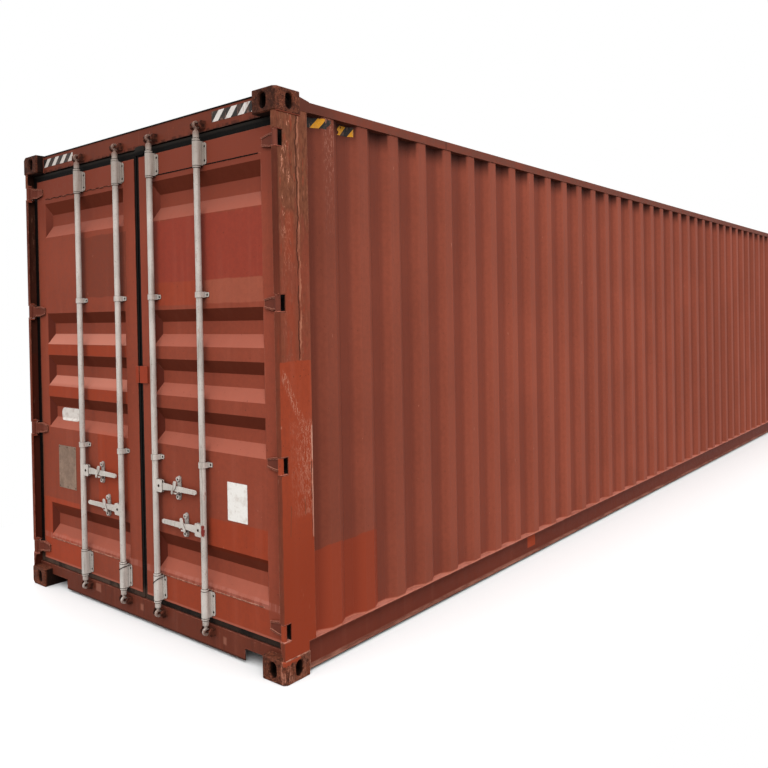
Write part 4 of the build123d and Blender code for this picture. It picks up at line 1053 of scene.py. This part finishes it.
class CONTAINER_OT_tie_wires(bpy.types.Operator):
    """Loop the dark tie wires over the bottom covers of the inner rods"""
    bl_idname = "container.tie_wires"
    bl_label = "Tie wires"

    def execute(self, context):
        radius, half, back = context.scene.container_fittings.wire, FLANGE_X, DOOR_Y - 0.006
        for leaf, lean, top in (("left", 0.55, 0.318), ("right", 0.75, 0.312)):
            x = min(rod_lines(leaf), key=abs)
            cover_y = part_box("door_" + leaf + "_rod_brackets")[0].y

            def loop(work):
                ring = bmesh.ops.create_circle(work, cap_ends=False, segments=8, radius=radius,
                                               matrix=Matrix.Translation((half, 0.0, 0.0)) @ TO_FRONT)["verts"]
                bmesh.ops.spin(work, geom=ring + edges_of(ring), cent=(0, 0, 0), axis=(0, 0, 1),
                               angle=math.radians(-180), steps=28, use_duplicate=False)
                for vert in work.verts:
                    side, out = vert.co.x, abs(vert.co.y)
                    vert.co = Vector((x + side, back - out * (back - cover_y + radius) / half,
                                      vert.co.z + side * lean + top - 0.02))
                bmesh.ops.holes_fill(work, edges=[edge for edge in work.edges if edge.is_boundary], sides=0)
            place_piece("tie_wire_" + leaf, loop, leaf + "_door", "dark_steel", smooth=SOFT_FOLD)
        return {"FINISHED"}


class CONTAINER_OT_hinge_pads(bpy.types.Operator):
    """Fill the hinge pockets above and below the knuckles with worn pads"""
    bl_idname = "container.hinge_pads"
    bl_label = "Hinge pads"

    def execute(self, context):
        inner = abs(frame["joints"][0]["pos_m"][0]) - 0.0105
        outer, back, gap = POST_HIGH.x - 0.0005, END_Y + 0.0545, 0.0054

        def pads(work):
            for sx in SIDES:
                for z in HINGES:
                    for low in (z - KNUCKLE_HALF - gap, z + KNUCKLE_HALF):
                        slab(work, (sx * inner, POST_LOW.y + 0.002, low),
                             (sx * outer, back, low + gap), 0.0012)
        place_piece("hinge_pads", pads, "box", "frame_paint")
        return {"FINISHED"}


class CONTAINER_OT_pivot_bolts(bpy.types.Operator):
    """Set the bolt heads on which the handles lift"""
    bl_idname = "container.pivot_bolts"
    bl_label = "Pivot bolts"

    def execute(self, context):
        for joint in frame["joints"]:
            if not joint["name"].endswith("handle_lift"):
                continue
            rod = joint["name"].replace("handle_lift", "lock_rod")
            x, y, z = joint["pos_m"]
            radius, height, flats = 0.0085, 0.0026, 6

            def bolt(work):
                stud(work, (x, y - HUB_HALF - 0.0012, z), radius, height, flats, 0.9)
            place_piece("pivot_bolt_" + rod, bolt, rod, "dark_steel", smooth=SHARP_FOLD)
        return {"FINISHED"}


class CONTAINER_OT_seal_corner(bpy.types.Operator):
    """Fold the corner of the right leaf's seal over the edge of the header"""
    bl_idname = "container.seal_corner"
    bl_label = "Seal corner"

    def execute(self, context):
        face, back, middle, corner, lip = HEADER_Y - 0.0065, HEADER_Y - 0.0005, HEADER_Y - 0.006, 0.020, 0.0025

        def flap(work):
            sheet_label(work, (-0.002, face, 2.738), (0.094, back, 2.789), corner, 6)
            front = [edge for edge in work.edges if all(vert.co.y < middle for vert in edge.verts)]
            round_off(work, front, lip, 2)
        place_piece("seal_corner", flap, "right_door", "seal_rubber", smooth=0.7)
        return {"FINISHED"}


class CONTAINER_OT_rust_blisters(bpy.types.Operator):
    """Raise the rust blisters along the lower edge of the header"""
    bl_idname = "container.rust_blisters"
    bl_label = "Rust blisters"

    def execute(self, context):
        places = (-0.505, -0.484, -0.462, -0.418, -0.396, -0.342, -0.329, -0.301, -0.262, -0.820, -0.742,
                  0.243, 0.256, 0.512, 0.548, -0.980)

        flat, least, more = Matrix.Diagonal((1.5, 0.7, 1.0, 1.0)), 0.0045, 0.0035

        def lumps(work):
            for index, x in enumerate(places):
                size = least + more * abs(noise.noise(Vector((index * 2.3, 1.0, 0.0))))
                matrix = Matrix.Translation((x, HEADER_Y, CAST_UNDER + 0.004)) @ flat
                made = bmesh.ops.create_icosphere(work, subdivisions=2, radius=size, matrix=matrix)["verts"]
                for vert in made:
                    vert.co.z += size * 0.8 * noise.noise(vert.co * 160)
                    vert.co.x += size * 0.6 * noise.noise(vert.co * 120)
        place_piece("rust_blisters", lumps, "box", "keeper_rust", smooth=1.0)
        return {"FINISHED"}


class CONTAINER_OT_stage(bpy.types.Operator):
    """Lay the pale floor, hang the lamp and set the camera"""
    bl_idname = "container.stage"
    bl_label = "Stage"

    def execute(self, context):
        stage = context.scene.container_stage
        lay_floor(context, stage)
        light_world(context, stage)
        hang_lamp(context, "corner_lamp", (9.0, -14.0, 9.0), (1.0, -5.0, 1.3), 8.0, stage.lamp)
        set_camera(context, stage)
        return {"FINISHED"}


def lay_floor(context, stage):
    """Floor that keeps the shadow near the container and turns plain white away from it."""
    f = Finish("pale_floor")
    seen = f.seen()
    away = (abs(f.x) - HIGH.x).most(abs(f.y) - HIGH.y).ramp(0.10, 1.6)
    f.feed(f.shader.inputs["Base Color"], f.blend(seen, (0.12, 0.115, 0.11), stage.floor))
    f.feed(f.shader.inputs["Roughness"], 0.9)
    glow = f.take("Emission", {"Strength": 1.0})
    f.show(away * seen, Field(f, f.shader.outputs[0]), glow, "Material Output")
    work = bmesh.new()
    bmesh.ops.create_grid(work, x_segments=4, y_segments=4, size=60.0)
    mesh = bpy.data.meshes.new("pale_floor")
    work.to_mesh(mesh)
    work.free()
    floor = bpy.data.objects.new("pale_floor", mesh)
    context.scene.collection.objects.link(floor)
    mesh.materials.append(f.material)
    floor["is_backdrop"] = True


def light_world(context, stage):
    """Soft light that grows from the horizon to overhead, before white."""
    world = bpy.data.worlds.new("soft_sky")
    context.scene.world = world
    world.use_nodes = True
    sky = Nodes(world.node_tree, "Generated")
    white = (1.0, 1.0, 1.0)
    light = sky.tree.nodes["Background"]
    sky.feed(light.inputs["Color"], white)
    sky.feed(light.inputs["Strength"], sky.z.most(0.0) * stage.zenith + stage.horizon)
    backdrop = sky.take("Background", {"Color": white, "Strength": 1.0})
    sky.show(sky.seen(), Field(sky, light.outputs[0]), backdrop, "World Output")


def hang_lamp(context, name, at, aim, size, power):
    """Square lamp that looks from one place to another."""
    lamp = bpy.data.lights.new(name, "AREA")
    lamp.shape = "SQUARE"
    lamp.size = size
    lamp.energy = power
    holder = bpy.data.objects.new(name, lamp)
    holder.location = at
    holder.rotation_euler = (Vector(aim) - Vector(at)).to_track_quat("-Z", "Y").to_euler()
    context.scene.collection.objects.link(holder)


def set_camera(context, stage):
    """Camera in front of the right rear corner, as high as a raised hand."""
    view = bpy.data.cameras.new("view")
    view.sensor_width = 36.0
    view.lens = stage.lens
    view.shift_x, view.shift_y = 0.04898, -0.07606
    view.clip_end = 200.0
    holder = bpy.data.objects.new("view", view)
    right = Vector((0.75905, 0.65077, -0.01815))
    ahead = Vector((-0.651, 0.75898, -0.01202))
    up = right.cross(ahead).normalized()
    right = ahead.cross(up).normalized()
    turn = Matrix((right, up, -ahead.normalized())).transposed().to_4x4()
    holder.matrix_world = Matrix.Translation((3.8974, -8.7204, 1.7824)) @ turn
    context.scene.collection.objects.link(holder)
    context.scene.camera = holder
    context.scene.view_settings.view_transform = "Standard"


class CONTAINER_PT_sidebar(bpy.types.Panel):
    """Lists the pieces of the container and their settings"""
    bl_idname = "CONTAINER_PT_sidebar"
    bl_label = "Container"
    bl_space_type = "VIEW_3D"
    bl_region_type = "UI"
    bl_category = "Container"

    def draw(self, context):
        for group in SETTINGS:
            box = self.layout.box()
            settings = getattr(context.scene, group)
            for name in settings.bl_rna.properties.keys():
                if name not in ("rna_type", "name"):
                    box.prop(settings, name)
        for operator in OPERATORS:
            self.layout.operator(operator.bl_idname)


OPERATORS = (
    CONTAINER_OT_finishes, CONTAINER_OT_cover_rivets, CONTAINER_OT_door_seams, CONTAINER_OT_frame_welds,
    CONTAINER_OT_rail_gussets, CONTAINER_OT_corner_plates, CONTAINER_OT_labels, CONTAINER_OT_hazard_stripes,
    CONTAINER_OT_header_strip, CONTAINER_OT_tie_wires, CONTAINER_OT_hinge_pads, CONTAINER_OT_pivot_bolts,
    CONTAINER_OT_seal_corner, CONTAINER_OT_rust_blisters, CONTAINER_OT_stage,
)
SETTINGS = {
    "container_paint": ContainerPaint,
    "container_fittings": ContainerFittings,
    "container_stage": ContainerStage,
}
CLASSES = (*SETTINGS.values(), *OPERATORS, CONTAINER_PT_sidebar)


def register():
    for kind in CLASSES:
        bpy.utils.register_class(kind)
    for group, kind in SETTINGS.items():
        setattr(bpy.types.Scene, group, PointerProperty(type=kind))


def unregister():
    for group in SETTINGS:
        delattr(bpy.types.Scene, group)
    for kind in reversed(CLASSES):
        bpy.utils.unregister_class(kind)


def main():
    register()
    for operator in OPERATORS:
        group, name = operator.bl_idname.split(".")
        getattr(getattr(bpy.ops, group), name)()


if __name__ == "__main__":
    main()
